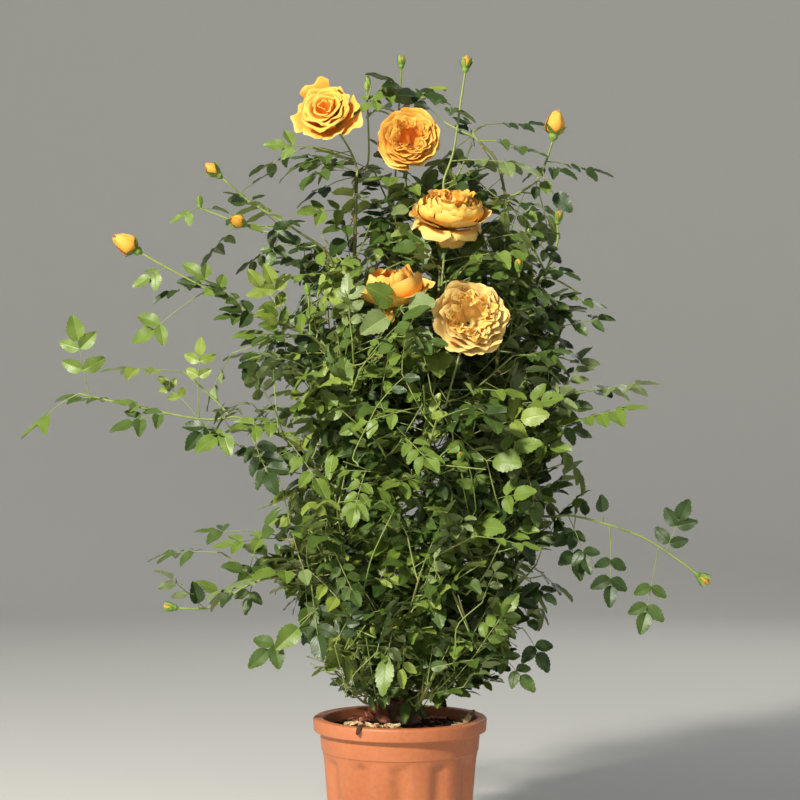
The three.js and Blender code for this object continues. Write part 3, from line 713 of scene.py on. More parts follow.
def square(wish, axis):
    """A unit vector square to an axis, as near as can be to a wish."""
    return unit(wish - axis * wish.dot(axis))


def turned(v, axis, angle):
    """A vector turned about an axis."""
    along = axis * axis.dot(v) * (1 - math.cos(angle))
    return v * math.cos(angle) + np.cross(axis, v) * math.sin(angle) + along


def limb(start, out, places, steps, thick, thin):
    """Points with a radius at each, that leave a host in the direction out and curve through places."""
    first = start + out * LEAD * np.linalg.norm(places[0] - start)
    knots = np.array([start, first, *places])
    padded = np.vstack([2 * knots[0] - knots[1], knots, 2 * knots[-1] - knots[-2]])
    rows = []
    for t in np.linspace(0, len(knots) - 1, steps * FINE + 1):
        i = min(int(t), len(knots) - 2)
        u = t - i
        p0, p1, p2, p3 = padded[i : i + 4]
        a, b = 0.5 * (p2 - p0), 0.5 * (p3 - p1)
        rows.append(p1 + a * u + (3 * (p2 - p1) - 2 * a - b) * u**2 + (2 * (p1 - p2) + a + b) * u**3)
    return {"points": np.array(rows), "radii": np.linspace(thick, thin, len(rows)), "out": out}


def length_of(line):
    return np.linalg.norm(np.diff(line["points"], axis=0), axis=1).sum()


def heading(line, i):
    """The direction of a limb at one of its points."""
    if i == 0:
        return line["out"]
    points = line["points"]
    return unit(points[min(i + 1, len(points) - 1)] - points[i - 1])


def place(line, share):
    """The place on a limb at a share of its rows: point, direction and radius."""
    points, radii = line["points"], line["radii"]
    at = min(share, 0.9999) * (len(points) - 1)
    i, part = int(at), at % 1
    point = points[i] + (points[i + 1] - points[i]) * part
    return point, unit(points[i + 1] - points[i]), radii[i] + (radii[i + 1] - radii[i]) * part


def share_at(line, z):
    """The share of a rising limb's rows at which it reaches a height."""
    heights = line["points"][:, 2]
    i = next((k for k in range(len(heights) - 1) if k + 2 == len(heights) or heights[k + 1] >= z), 0)
    return (i + (z - heights[i]) / (heights[i + 1] - heights[i])) / (len(heights) - 1)


def metres(places):
    return [np.array(p) * MM for p in places]


def cane(turn, places):
    """A cane that leaves the union at a turn, in radians from the right."""
    level = math.cos(CANE_RISE)
    out = np.array((math.cos(turn) * level, math.sin(turn) * level, math.sin(CANE_RISE)))
    start = UNION_MIDDLE + out * 0.5 * UNION_RADIUS
    return limb(start, out, metres(places), 8, CANE_RADIUS, CANE_TIP_RADIUS)


def leave(host, z, towards):
    """Where a limb leaves its host: sideways at a height, or onward from the host's tip."""
    if not z:
        out = heading(host, len(host["points"]) - 1)
        return host["points"][-1] + out * GAP, out
    point, axis, radius = place(host, share_at(host, z * MM))
    out = square(towards - point, axis)
    return point + out * (radius + GAP), out


def bough(host, z, *places):
    towards = metres(places)
    start, out = leave(host, z, towards[0])
    return limb(start, out, towards, 4, BOUGH_RADIUS, BOUGH_TIP_RADIUS)


canes = {
    "cane_left": cane(3.3, [[-70, -10, 370], [-80, 0, 560], [-66, 6, 780], [-60, 0, 962]]),
    "cane_front": cane(4.9, [[26, -48, 360], [36, -54, 540], [50, -42, 740], [60, -14, 940]]),
    "cane_right": cane(0.1, [[88, 2, 370], [116, 8, 560], [138, 6, 740], [148, 0, 880]]),
    "cane_back_left": cane(2.2, [[-34, 66, 370], [-30, 84, 560], [-10, 76, 740], [2, 52, 890]]),
    "cane_back_right": cane(1.15, [[58, 66, 360], [78, 82, 560], [76, 72, 720], [70, 48, 860]]),
}
boughs = {
    "bough_arch": bough(canes["cane_right"], 0, [146, -1, 934], [133, -2, 985], [108, -3, 1012]),
    "bough_left_high": bough(canes["cane_left"], 700, [-118, -22, 738], [-176, -40, 760]),
    "bough_left_top": bough(canes["cane_left"], 810, [-100, -12, 856], [-140, -24, 884]),
    "bough_left_middle": bough(canes["cane_left"], 545, [-140, -44, 592], [-205, -62, 622]),
    "bough_left_low": bough(canes["cane_left"], 392, [-118, -50, 422], [-172, -70, 414]),
    "bough_right_low": bough(canes["cane_right"], 455, [160, -16, 490], [214, -30, 495]),
    "bough_right_high": bough(canes["cane_right"], 745, [168, -10, 790], [190, -14, 816]),
    "bough_back": bough(canes["cane_back_right"], 600, [92, 130, 650], [98, 168, 700]),
}


def bark_tube(line, sides, ring_step, relief_depth, seed):
    """Points, faces and age of a limb whose bark is fissured, and swells at each leaf scar."""
    length = length_of(line)
    rings = max(8, int(length / ring_step))
    points, ages = [], []
    across = square(ACROSS if abs(line["out"][2]) > 0.9 else UP, line["out"])
    for k in range(rings + 1):
        point, axis, radius = place(line, k / rings)
        across = square(across, axis)
        third = np.cross(axis, across)
        run = k / rings * length
        scar = math.exp(-(((run % SCAR_STEP) - 0.5 * SCAR_STEP) / SCAR_WIDTH) ** 2)
        lean = seed + LEAF_TURN * int(run / SCAR_STEP)
        age = max(0.0, 1 - (point[2] - BROWN_BELOW) / GREENING)
        for i in range(sides):
            angle = 2 * math.pi * i / sides
            side = across * math.cos(angle) + third * math.sin(angle)
            spot = Vector((angle * 1.2, run * 45, seed * 3.1))
            along_it = Vector((math.cos(angle) * 2.2, math.sin(angle) * 2.2, run * 60 + seed))
            grooves = noise.fractal(along_it, 0.7, 2.0, 3)
            bumps = relief_depth * (0.35 + age) * grooves + 0.0001 * noise.noise(spot * 3)
            swell = SCAR_SWELL * radius * scar * (0.6 + math.cos(angle - lean))
            points.append(point + side * (radius + bumps + swell))
            ages.append(age)
    return points, lathe_faces(rings + 1, sides) + end_caps(rings + 1, sides), ages


def joined(parts):
    """Several sets of points, faces and values as one."""
    points, faces, values = [], [], []
    for some_points, some_faces, some_values in parts:
        faces += [tuple(v + len(points) for v in face) for face in some_faces]
        points += list(some_points)
        values += list(some_values)
    return points, faces, values


def with_values(piece, name, values):
    """The piece with a value at each of its points, for its finish to read."""
    attribute = piece.data.attributes.new(name, "FLOAT", "POINT")
    attribute.data.foreach_set("value", np.array(values, dtype=np.float32))
    return piece


def union_part():
    """Points, faces and ages of the graft union: flared at its foot, and knobbly all round."""
    points, ages = [], []
    for share, r in UNION_ROWS:
        for i in range(UNION_TURNS):
            angle = 2 * math.pi * i / UNION_TURNS
            level = (math.cos(angle), math.sin(angle))
            knob = 1 + 0.09 * math.sin(2 * angle + 1) + 0.05 * math.sin(5 * angle)
            rough = Vector((3.2 * level[0], 3.2 * level[1], share * 5))
            radius = r * MM * knob + 0.0018 * noise.fractal(rough, 0.7, 2.2, 4)
            z = UNION_FOOT + share * UNION_HEIGHT
            points.append((UNION_MIDDLE[0] + radius * level[0], radius * level[1], z))
            ages.append(0.85 + 0.25 * noise.noise(Vector((3 * level[0], 3 * level[1], share * 5))))
    rows = len(UNION_ROWS)
    return points, lathe_faces(rows, UNION_TURNS) + end_caps(rows, UNION_TURNS), ages


def value_color(tree, name, tints):
    """The tints, each a place and a colour, by the value that the piece's points carry."""
    attribute = tree.nodes.new("ShaderNodeAttribute")
    attribute.attribute_name = name
    return ramp(tree, attribute.outputs["Fac"], [(at, linear(*color)) for at, *color in tints])


bark, tree, surface = shader("cane_bark", linear(104, 96, 58), 0.62, 0.4)
age_tints = [(0.0, 106, 118, 58), (0.35, 112, 106, 62), (0.75, 112, 84, 58), (1.0, 92, 68, 50)]
young = value_color(tree, "age", age_tints)
tone = uneven(tree, 60, 700, 0.35)
shadow = ramp(tree, tone, [(0.34, (0.55, 0.5, 0.46, 1)), (0.52, (1, 1, 1, 1)), (0.72, (1.0, 0.98, 0.9, 1))])
tree.links.new(mixed(tree, 1.0, young, shadow, "MULTIPLY"), surface.inputs["Base Color"])
relief(tree, surface, tone, 0.5, 0.0012)

cane_parts = []
for k, line in enumerate(canes.values()):
    cane_parts.append(bark_tube(line, sides=16, ring_step=0.0035, relief_depth=0.0005, seed=1.7 * k))
points, faces, ages = joined([*cane_parts, union_part()])
cane_wood = with_values(mesh_piece("canes_and_union", points, faces, bark), "age", ages)
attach(cane_wood, "root")
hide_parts("graft_union", *canes)
bough_parts = []
for k, line in enumerate(boughs.values()):
    bough_parts.append(bark_tube(line, sides=12, ring_step=0.004, relief_depth=0.00022, seed=9.0 + k))
points, faces, ages = joined(bough_parts)
bough_wood = with_values(mesh_piece("bough_wood", points, faces, bark), "age", ages)
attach(bough_wood, "root")
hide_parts(*boughs)


# Shoots and twigs.
# Each spray of the plant is a green stem that leaves a limb, with side twigs, and finer twigs on those. A
# twig leaves its host square to it, leans towards its end, and the next stands a turn further round. The
# column's sprays stand round the canes at five levels, and the others are named for what they carry.
STEM_RADIUS = 0.0017
TWIG_RADIUS = 0.0015
TWIG_TIP_RADIUS = 0.0013
FINE_TWIG_RADIUS = 0.0011
TWIG_LEAN = 0.4
ROSE_RADIUS = 0.046
BUD_RADIUS = 0.010
FLOWER_SEAT = {"rose": 0.36 * ROSE_RADIUS, "bud": 1.2 * BUD_RADIUS}
LEVELS = [300, 398, 496, 594, 700]
SECTORS = 4
ROSES_STAND_AT = "foliage_5d"
# The crown at rising heights: height, middle and radius in mm.
CROWN_ROWS = [(236, 8, 70), (300, 12, 165), (400, 18, 205), (520, 34, 218), (640, 44, 204)]
CROWN_ROWS += [(760, 42, 188), (860, 40, 150), (960, 24, 100)]
CROWN = np.array(CROWN_ROWS) * MM


def seeded(seed):
    """Random numbers that are the same on every run."""
    state = [seed]

    def draw():
        state[0] = (state[0] + 0x6D2B79F5) & 0xFFFFFFFF
        t = state[0]
        t = ((t ^ (t >> 15)) * (1 | t)) & 0xFFFFFFFF
        t = ((t + (((t ^ (t >> 7)) * (61 | t)) & 0xFFFFFFFF)) ^ t) & 0xFFFFFFFF
        return (t ^ (t >> 14)) / 4294967296

    return draw


def crown_at(z):
    """The middle and the radius of the crown at a height."""
    return np.interp(z, CROWN[:, 0], CROWN[:, 1]), np.interp(z, CROWN[:, 0], CROWN[:, 2])


def crown_point(angle, share, z):
    middle, radius = crown_at(z)
    return np.array((middle + share * radius * math.cos(angle), share * radius * math.sin(angle), z))


def shoot(line, flower=None, facing=(0, 0, 1), size=1.0, spread="flat", **leaf_rule):
    """A shoot, with where its flower sits if it ends in one."""
    made = {"line": line, "flower": flower, "size": size, "spread": spread, **leaf_rule}
    if flower:
        made["facing"] = unit(np.array(facing, dtype=float))
        made["centre"] = line["points"][-1] + made["facing"] * FLOWER_SEAT[flower] * size
    return made


def side_twig(start, tip, **rule):
    """A side twig as spray() takes it: the share of the stem where it starts, its tip and what it carries."""
    return start, tip, rule


sprays = []


def spray(name, host, z, places, seed, *twigs, **rule):
    """A stem that leaves a limb at a height, or its tip at 0, and the side twigs that leave the stem."""
    towards = metres(places)
    start, out = leave(host, z, towards[0])
    stem = limb(start, out, towards, 2 + len(places), STEM_RADIUS, TWIG_RADIUS)
    shoots = [shoot(stem, **rule)]
    for share, tip, twig_rule in twigs:
        point, axis, _ = place(stem, share)
        end = np.array(tip) * MM
        side = square(end - point, axis)
        leaning = unit(side + (axis - side) * TWIG_LEAN)
        shoots.append(shoot(limb(point, leaning, [end], 2, TWIG_RADIUS, TWIG_TIP_RADIUS), **twig_rule))
    sprays.append({"name": name, "shoots": shoots, "random": seeded(seed)})


for level, z in enumerate(LEVELS):
    for sector in range(SECTORS):
        name = "foliage_" + str(level + 1) + "abcd"[sector]
        if name == ROSES_STAND_AT:
            continue
        angle = (sector + 0.5 * (level % 2) + 0.2) / SECTORS * 2 * math.pi
        tip = crown_point(angle, 0.72, z * MM)
        foot = max(z * MM - 0.070, UNION_FOOT + UNION_HEIGHT + 0.012)
        reach = {key: np.linalg.norm(place(c, share_at(c, foot))[0] - tip) for key, c in canes.items()}
        host = canes[min(reach, key=reach.get)]
        side = crown_point(angle + 0.5, 0.8, (z + 30) * MM) / MM
        seed = 11 + 7 * level + sector
        spray(name, host, foot / MM, [tip / MM], seed, side_twig(0.5, side, spread="round"), spread="round")

LEFT, FRONT, RIGHT = canes["cane_left"], canes["cane_front"], canes["cane_right"]
BACK_LEFT, BACK_RIGHT = canes["cane_back_left"], canes["cane_back_right"]
ARCH = boughs["bough_arch"]
spray(
    "rose_top_left", LEFT, 0, [[-70, -8, 1000], [-94, -20, 1036]], 201,
    side_twig(0.2, (-46, 14, 1084), flower="bud", size=0.6, leaves=2),
    side_twig(0.5, (-128, 6, 1006), leaves=2),
    flower="rose", facing=(-0.25, -0.85, 0.42), leaves=4,
)
spray(
    "rose_top_middle", BACK_LEFT, 0, [[6, 34, 940], [13, 0, 1006]], 202,
    side_twig(0.5, (2, 16, 1116), flower="bud", size=0.75, leaves=2),
    side_twig(0.3, (-36, 70, 980), leaves=4),
    flower="rose", facing=(0, -0.95, 0.25), size=0.95, leaves=6,
)
spray(
    "bud_top", FRONT, 0, [[74, -8, 998], [84, -6, 1067], [90, -4, 1106]], 203,
    side_twig(0.15, (100, 20, 1010), leaves=2),
    flower="bud", facing=(0.1, 0, 1), size=0.9, leaves=1,
)
spray(
    "rose_upper", FRONT, 800, [[60, -62, 850], [67, -64, 884]], 204,
    side_twig(0.4, (118, -70, 868), leaves=4),
    flower="rose", facing=(0.05, -0.4, 0.92), size=1.1, leaves=5,
)
spray(
    "rose_middle", LEFT, 620, [[-38, -66, 704], [-8, -74, 780]], 205,
    side_twig(0.85, (4, -118, 776), leaves=1, spread="round"),
    side_twig(0.5, (-84, -100, 740), leaves=4, spread="round"),
    side_twig(0.3, (-52, -128, 690), leaves=4, spread="round"),
    flower="rose", facing=(-0.1, -0.3, 0.95), size=0.9, leaves=5,
)
spray(
    "rose_front", FRONT, 600, [[66, -98, 664], [90, -104, 752]], 206,
    side_twig(0.6, (150, -104, 710), leaves=4, spread="round"),
    side_twig(0.35, (30, -150, 668), leaves=4, spread="round"),
    flower="rose", facing=(0.1, -0.97, 0.2), size=1.08, leaves=5,
)
spray(
    "bud_right_top", ARCH, 936, [[188, -2, 956], [202, -2, 984], [211, -2, 1012]], 207,
    side_twig(0.3, (196, 40, 944), leaves=2),
    flower="bud", facing=(0.15, 0, 1), size=1.25, leaves=1,
)
spray(
    "foliage_arch", ARCH, 0, [[88, -2, 1024], [62, 10, 1040]], 208,
    side_twig(0.3, (120, 24, 1040), leaves=1),
    leaves=2,
)
spray(
    "bud_right_high", boughs["bough_right_high"], 0, [[203, -16, 838], [216, -16, 870], [216, -16, 894]], 209,
    side_twig(0.2, (246, -20, 800), leaves=0),
    side_twig(0.4, (176, -34, 872), flower="bud", size=0.6, leaves=0),
    flower="bud", facing=(0.1, -0.3, 1), size=0.8, leaves=0,
)
spray(
    "foliage_right", RIGHT, 610, [[196, -16, 650], [252, -24, 664]], 210,
    side_twig(0.5, (226, -60, 620), leaves=4),
    leaves=7,
)
spray(
    "shoot_right_low", boughs["bough_right_low"], 0,
    [[275, -40, 486], [330, -46, 466], [382, -50, 432], [397, -52, 420]], 211,
    flower="bud", facing=(0.8, 0, -0.6), size=0.9, leaves=0,
)
spray(
    "shoot_left_low", boughs["bough_left_low"], 0,
    [[-208, -76, 402], [-252, -80, 376], [-294, -84, 375]], 212,
    side_twig(0.3, (-238, -74, 448), leaves=3),
    flower="bud", facing=(-1, 0, 0.15), size=0.8, leaves=1,
)
spray(
    "shoot_left_middle", boughs["bough_left_middle"], 0,
    [[-264, -70, 626], [-340, -75, 640], [-428, -80, 660]], 213,
    side_twig(0.3, (-290, -66, 690), leaves=1),
    leaves=0,
)
spray(
    "shoot_left_high", boughs["bough_left_high"], 0,
    [[-242, -50, 792], [-320, -60, 834], [-348, -62, 850]], 214,
    flower="bud", facing=(-0.85, -0.2, 0.5), size=1.25, leaves=0,
)
spray(
    "shoot_left_top", boughs["bough_left_top"], 0, [[-201, -30, 921], [-243, -34, 956]], 215,
    side_twig(0.35, (-208, -44, 890), flower="bud", facing=(-0.6, -0.6, 0.2), size=1.0, leaves=1),
    side_twig(0.2, (-276, -10, 918), flower="bud", size=0.66, leaves=1),
    flower="bud", facing=(-0.7, -0.2, 0.6), size=1.0, leaves=0,
)
spray(
    "foliage_back_high", BACK_RIGHT, 0, [[52, 58, 920], [30, 74, 960]], 216,
    side_twig(0.4, (96, 84, 930), leaves=4),
    leaves=5,
)
spray(
    "rose_back_right", boughs["bough_back"], 0, [[104, 176, 740], [112, 178, 776]], 217,
    side_twig(0.3, (160, 150, 760), leaves=4),
    flower="rose", facing=(0.25, 0.93, 0.25), leaves=4,
)
spray(
    "rose_back_left", BACK_LEFT, 600, [[-50, 124, 662], [-74, 148, 706]], 218,
    side_twig(0.4, (-130, 96, 710), leaves=4),
    flower="rose", facing=(-0.4, 0.85, 0.35), leaves=4,
)
roses = {own["name"]: one for own in sprays for one in own["shoots"] if one["flower"] == "rose"}
buds = [one for own in sprays for one in own["shoots"] if one["flower"] == "bud"]


# Leaves.
# A rose leaf is five or seven toothed leaflets on one stalk, each folded a little along its midrib, dark and
# glossy above and pale below. Leaves stand round a shoot by turns. They keep inside the crown's outline, out
# of the pot and clear of the flowers. Each spray has its own shade of green, but the leaves high on the right
# are held to the two darker greens, which is painted shade on that side of the crown.
DEEP, MID, BRIGHT, YOUNG, DULL = SHADES = range(5)
SHADE_LIMITS = (0.3, 0.62, 0.84, 0.95)
LEAF_LENGTH = 0.116
LEAF_TRIES = 9
THICK_FROM = 0.001
STALK_POINTS = 5
STALK_SHARE = 0.73
STALK_RADIUS = 0.0008
STALK_TIP_RADIUS = 0.0005
CROWN_TOP = 1.0
THIN_FROM = 0.76
UPPER_FOOT = 0.62
PAINTED_SHADE_SIDE = 0.13
PAINTED_SHADE_FOOT = 0.67
GAP_SPACING = 15
GAP_SHARE = -0.27
LOOSE_FROM = 0.7
LOOSE_SPACING = 70
LOOSE_SHARE = -0.06
POT_ROOM = 0.004
RIM_ROOM = 0.01
LOWEST_LEAF = 0.19
TWIG_ROOM = 0.02
FLOWER_ROOM = 0.002
FACE_AHEAD = 0.2
FACE_SHARE = 0.95
SEEN_SHARE = 0.9
FRONT_FROM = 0.05
CROWN_SLACK = 1.06
lines = []
leaflets = {shade: [] for shade in SHADES}


def inside_crown(points, slack):
    """Whether the points lie within the crown, whose edge stands out in places and falls back in others."""
    for x, y, z in points:
        middle, radius = crown_at(z)
        angle = math.atan2(y, x - middle)
        ragged = 1 + 0.46 * noise.noise(Vector((2.0 * math.cos(angle), 2.0 * math.sin(angle), 11 * z)))
        if math.hypot(x - middle, y) > radius * slack * ragged or z > CROWN_TOP:
            return False
    return True


def at_loose_edge(points):
    """Whether a leaf at these points is one that the loose edge of the lower crown goes without."""
    x, y, z = points.mean(axis=0)
    middle, radius = crown_at(z)
    outside = math.hypot(x - middle, y) > radius * LOOSE_FROM
    return outside and z < UPPER_FOOT and noise.noise(Vector((x, y, z)) * LOOSE_SPACING) > LOOSE_SHARE


def clear_of_flowers(points):
    """Leaves keep out of each rose, and don't hang in front of the face of one."""
    for one in roses.values():
        radius = ROSE_RADIUS * one["size"]
        offset = points - one["centre"]
        if (np.linalg.norm(offset, axis=1) < radius + FLOWER_ROOM).any():
            return False
        ahead = offset @ one["facing"]
        aside = np.linalg.norm(offset - np.outer(ahead, one["facing"]), axis=1)
        if ((ahead > 0) & (ahead < FACE_AHEAD) & (aside < radius * FACE_SHARE)).any():
            return False
        before_it = (offset[:, 1] < 0) & (np.hypot(offset[:, 0], offset[:, 2]) < radius * SEEN_SHARE)
        if one["centre"][1] < FRONT_FROM and before_it.any():
            return False
    for one in buds:
        if (np.linalg.norm(points - one["centre"], axis=1) < 1.6 * BUD_RADIUS * one["size"]).any():
            return False
    return True


def compound_leaf(root, along, normal, size, pairs, random):
    """The stalk of one leaf, and where each leaflet stands on it and faces."""
    side = unit(np.cross(along, normal))
    top = unit(np.cross(side, along))
    length = LEAF_LENGTH * size
    bend = 0.08 + 0.14 * random()
    swing = 0.12 * (random() - 0.5)

    def at(forward):
        drop = length * bend * forward**2
        return root + along * length * forward + side * length * swing * forward**2 - top * drop

    first_pair = 0.36 if pairs == 2 else 0.27
    gap = (0.72 - first_pair) / max(1, pairs - 0.6)
    stands = []
    for pair in range(pairs):
        forward = first_pair + pair * gap
        heading_here = unit(at(forward + 0.02) - at(forward))
        for hand in (-1, 1):
            fan = 1.12 + 0.25 * (random() - 0.5) - 0.1 * pair
            out = heading_here * math.cos(fan) + side * hand * math.sin(fan) - top * (0.10 + 0.3 * random())
            tilt = top + side * hand * (0.35 * (random() - 0.3)) + heading_here * 0.3 * (random() - 0.5)
            long = length * (0.27 + 0.05 * random()) * (0.86 + 0.1 * pair)
            stands.append((at(forward) + out * 0.0015, unit(out), tilt, long))
    tip_heading = unit(at(0.74) - at(0.7))
    tilt = top + side * 0.3 * (random() - 0.5)
    stands.append((at(STALK_SHARE), tip_heading, tilt, length * (0.33 + 0.04 * random())))
    stalk = np.array([at(forward) for forward in np.linspace(0, STALK_SHARE, STALK_POINTS)])
    return stalk, stands


def leaf_points(stalk, stands):
    """Points of a leaf by which its place is judged: its stalk, and the middle and tip of each leaflet."""
    tips = [root + out * long for root, out, _, long in stands]
    middles = [root + out * long * 0.5 for root, out, _, long in stands]
    return np.array([*stalk[1:], *tips, *middles])


def shade_for(random):
    draw = random()
    return sum(draw >= limit for limit in SHADE_LIMITS)


def outward_at(point):
    """The level direction from the middle of the crown to a point."""
    middle, _ = crown_at(point[2])
    return unit(np.array((point[0] - middle, point[1], 0.0)) + 1e-6)


def add_stem(line):
    lines.append((line["points"], line["radii"][0], line["radii"][-1]))


def hang(stalk, stands, shade, random, plump=1.0):
    """Puts a leaf on the plant: its stalk among the fine stems, and its leaflets in one shade of green."""
    lines.append((stalk, STALK_RADIUS, STALK_TIP_RADIUS))
    for root, out, up, long in stands:
        wide = long * plump * (0.62 + 0.14 * random())
        form = int(random() * len(BLADE_FORMS))
        leaflets[shade].append((root, out, up, (wide, long, long), form))


def grow_leaves(one, line, count, size, random, shade, leads=True):
    """Leaves round a shoot by turns, one at its tip if it leads. Each is turned till it fits, or left out."""
    for k in range(count):
        at_tip = leads and k == count - 1
        for attempt in range(LEAF_TRIES):
            share = 0.12 + 0.85 * (k + 0.2 + 0.6 * random()) / count
            point, axis, _ = place(line, 1.0 if at_tip else share)
            outward = outward_at(point)
            first = square(outward + UP * 0.3, axis)
            aside = turned(first, axis, random() - 0.5 + LEAF_TURN * (k + attempt))
            along = unit(axis * (0.8 if at_tip else 0.45) + aside * (0.5 if at_tip else 0.9) - UP * 0.12)
            tilt = np.array([random() - 0.5 for _ in range(3)]) * 0.8
            normal = square(tilt + UP + outward * 0.22 + np.array((-0.1, -0.12, 0.0)), along)
            pairs = 3 if random() < 0.3 else 2
            long = size * (0.75 + 0.4 * random()) * (0.85 if attempt > 4 else 1)
            stalk, stands = compound_leaf(point, along, normal, long, pairs, random)
            spots = leaf_points(stalk, stands)
            over_pot = np.hypot(spots[:, 0], spots[:, 1]) < RIM_RADIUS + RIM_ROOM
            in_pot = (spots[:, 2] < POT_HEIGHT + POT_ROOM) & over_pot
            if in_pot.any() or (spots[:, 2] < LOWEST_LEAF).any() or not clear_of_flowers(spots):
                continue
            if one["spread"] == "round" and not inside_crown(spots, one.get("slack", CROWN_SLACK)):
                continue
            if noise.noise(Vector(spots.mean(axis=0)) * GAP_SPACING) < GAP_SHARE:
                continue
            if one["spread"] == "round" and at_loose_edge(spots):
                break
            own_shade = shade if random() < 0.7 else int(random() * len(SHADES))
            # Painted shade: leaves high on the right side of the crown take only the deep or the mid green.
            if point[0] > PAINTED_SHADE_SIDE and point[2] > PAINTED_SHADE_FOOT:
                own_shade = min(own_shade, MID)
            hang(stalk, stands, own_shade, random)
            break


def fine_twigs(line, random, spacing, reach, slack, low=0.0):
    """Finer twigs round a limb by turns, each shorter until it stays inside the crown."""
    count = int(length_of(line) / spacing)
    made = []
    for k in range(count):
        share = 0.1 + 0.85 * (k + 0.2 + 0.6 * random()) / count
        point, axis, radius = place(line, share)
        if point[2] < low or (point[2] > THIN_FROM and random() < 0.4):
            continue
        first = square(outward_at(point) + UP * 0.3, axis)
        aside = turned(first, axis, 1.2 * (random() - 0.5) + LEAF_TURN * k)
        out = unit(axis * 0.45 + aside * 0.9 + UP * 0.12)
        long = reach * (0.6 + 0.6 * random())
        for _ in range(4):
            end = point + out * long + UP * 0.25 * long
            above_pot = end[2] > POT_HEIGHT + TWIG_ROOM
            if above_pot and inside_crown([end], slack) and clear_of_flowers(np.array([end])):
                made.append(limb(point, out, [end], 1, min(radius, FINE_TWIG_RADIUS), STALK_RADIUS))
                break
            long *= 0.7
    return made


# How each leaflet form is folded, curled at its tip and twisted.
BLADE_FORMS = [(0.3, 0.12, 0.0), (0.5, 0.2, 0.15), (0.2, 0.28, -0.2), (0.4, 0.05, -0.1)]

for own in sprays:
    random = own["random"]
    column = own["name"].startswith("foliage_") and own["name"][8].isdigit()
    for one in own["shoots"]:
        line = one["line"]
        add_stem(line)
        shade = shade_for(random)
        if column:
            grow_leaves(one, line, 6, 0.86, random, shade)
            for twig in fine_twigs(line, random, spacing=0.0165, reach=0.078, slack=0.97):
                add_stem(twig)
                grow_leaves(one, twig, 4, 0.78, random, shade_for(random))
        else:
            grow_leaves(one, line, one.get("leaves", 4), 0.95, random, shade, leads=not one["flower"])

# The upper canes and boughs have leafy twigs of their own, looser than the column's.
random = seeded(400)
upper_rule = {"spread": "round", "slack": 1.22}
side_rule = {"spread": "round", "slack": 1.55}
for name, line in {**canes, **boughs}.items():
    side = name.startswith("bough_left")
    spacing, slack, low = (0.017, 1.45, 0.3) if side else (0.0125, 1.1, UPPER_FOOT)
    for twig in fine_twigs(line, random, spacing, 0.085, slack, low):
        add_stem(twig)
        grow_leaves(side_rule if side else upper_rule, twig, 3, 0.86, random, shade_for(random))

# The leaves of the long outer shoots, each listed: the place near which its stalk starts and the place
# of its tip in mm, its pairs of leaflets, the length of a leaflet, how far it faces the front, and its shade.
OUTER_LEAVES = {}
OUTER_LEAVES["high on the left"] = [
    ((-200, -40, 800), (-265, -60, 820), 2, 26, 0.4, MID),
    ((-170, -40, 770), (-240, -70, 780), 1, 32, 0.6, DEEP),
    ((-250, -50, 800), (-300, -60, 815), 0, 34, 0.5, DEEP),
    ((-150, -40, 750), (-185, -80, 770), 0, 36, 0.8, YOUNG),
    ((-170, -45, 730), (-220, -75, 740), 0, 32, 0.7, BRIGHT),
    ((-200, -45, 750), (-250, -70, 765), 1, 26, 0.5, MID),
    ((-130, -40, 700), (-195, -80, 720), 2, 28, 0.4, DULL),
    ((-160, -40, 690), (-215, -70, 700), 0, 36, 0.4, DEEP),
    ((-80, -80, 630), (-140, -130, 640), 1, 38, 0.7, BRIGHT),
    ((-310, -60, 835), (-360, -70, 805), 1, 29, 0.6, BRIGHT),
    ((-265, -50, 805), (-355, -85, 725), 1, 35, 0.8, BRIGHT),
    ((-190, -30, 825), (-295, -40, 840), 2, 30, 0.7, BRIGHT),
    ((-150, -40, 790), (-180, -70, 835), 1, 30, 0.8, YOUNG),
    ((-150, -40, 720), (-210, -70, 680), 0, 30, 0.7, DEEP),
    ((-190, -45, 800), (-265, -50, 815), 1, 32, 0.3, MID),
    ((-270, -50, 805), (-335, -60, 785), 2, 30, 0.2, DEEP),
    ((-150, -35, 790), (-205, -50, 830), 2, 30, 0.6, YOUNG),
    ((-165, -40, 750), (-180, -70, 780), 1, 29, 0.9, BRIGHT),
    ((-150, -40, 740), (-215, -60, 730), 2, 27, 0.5, BRIGHT),
]
OUTER_LEAVES["middle of the left"] = [
    ((-265, -70, 630), (-265, -90, 735), 2, 25, 0.8, YOUNG),
    ((-265, -70, 630), (-325, -60, 685), 2, 20, 0.6, YOUNG),
    ((-410, -80, 655), (-435, -90, 765), 2, 36, 0.6, BRIGHT),
    ((-380, -75, 650), (-465, -60, 655), 2, 32, 0.2, MID),
    ((-335, -70, 635), (-380, -100, 650), 1, 26, 0.4, BRIGHT),
    ((-430, -80, 660), (-505, -85, 600), 1, 36, 0.3, BRIGHT),
    ((-300, -70, 630), (-380, -120, 615), 2, 34, 0.5, MID),
    ((-250, -70, 620), (-285, -95, 585), 1, 34, 0.7, DEEP),
    ((-215, -65, 610), (-270, -110, 585), 1, 37, 0.5, BRIGHT),
    ((-150, -40, 620), (-225, -100, 610), 2, 32, 0.5, BRIGHT),
    ((-135, -40, 600), (-200, -80, 555), 2, 29, 0.4, MID),
]
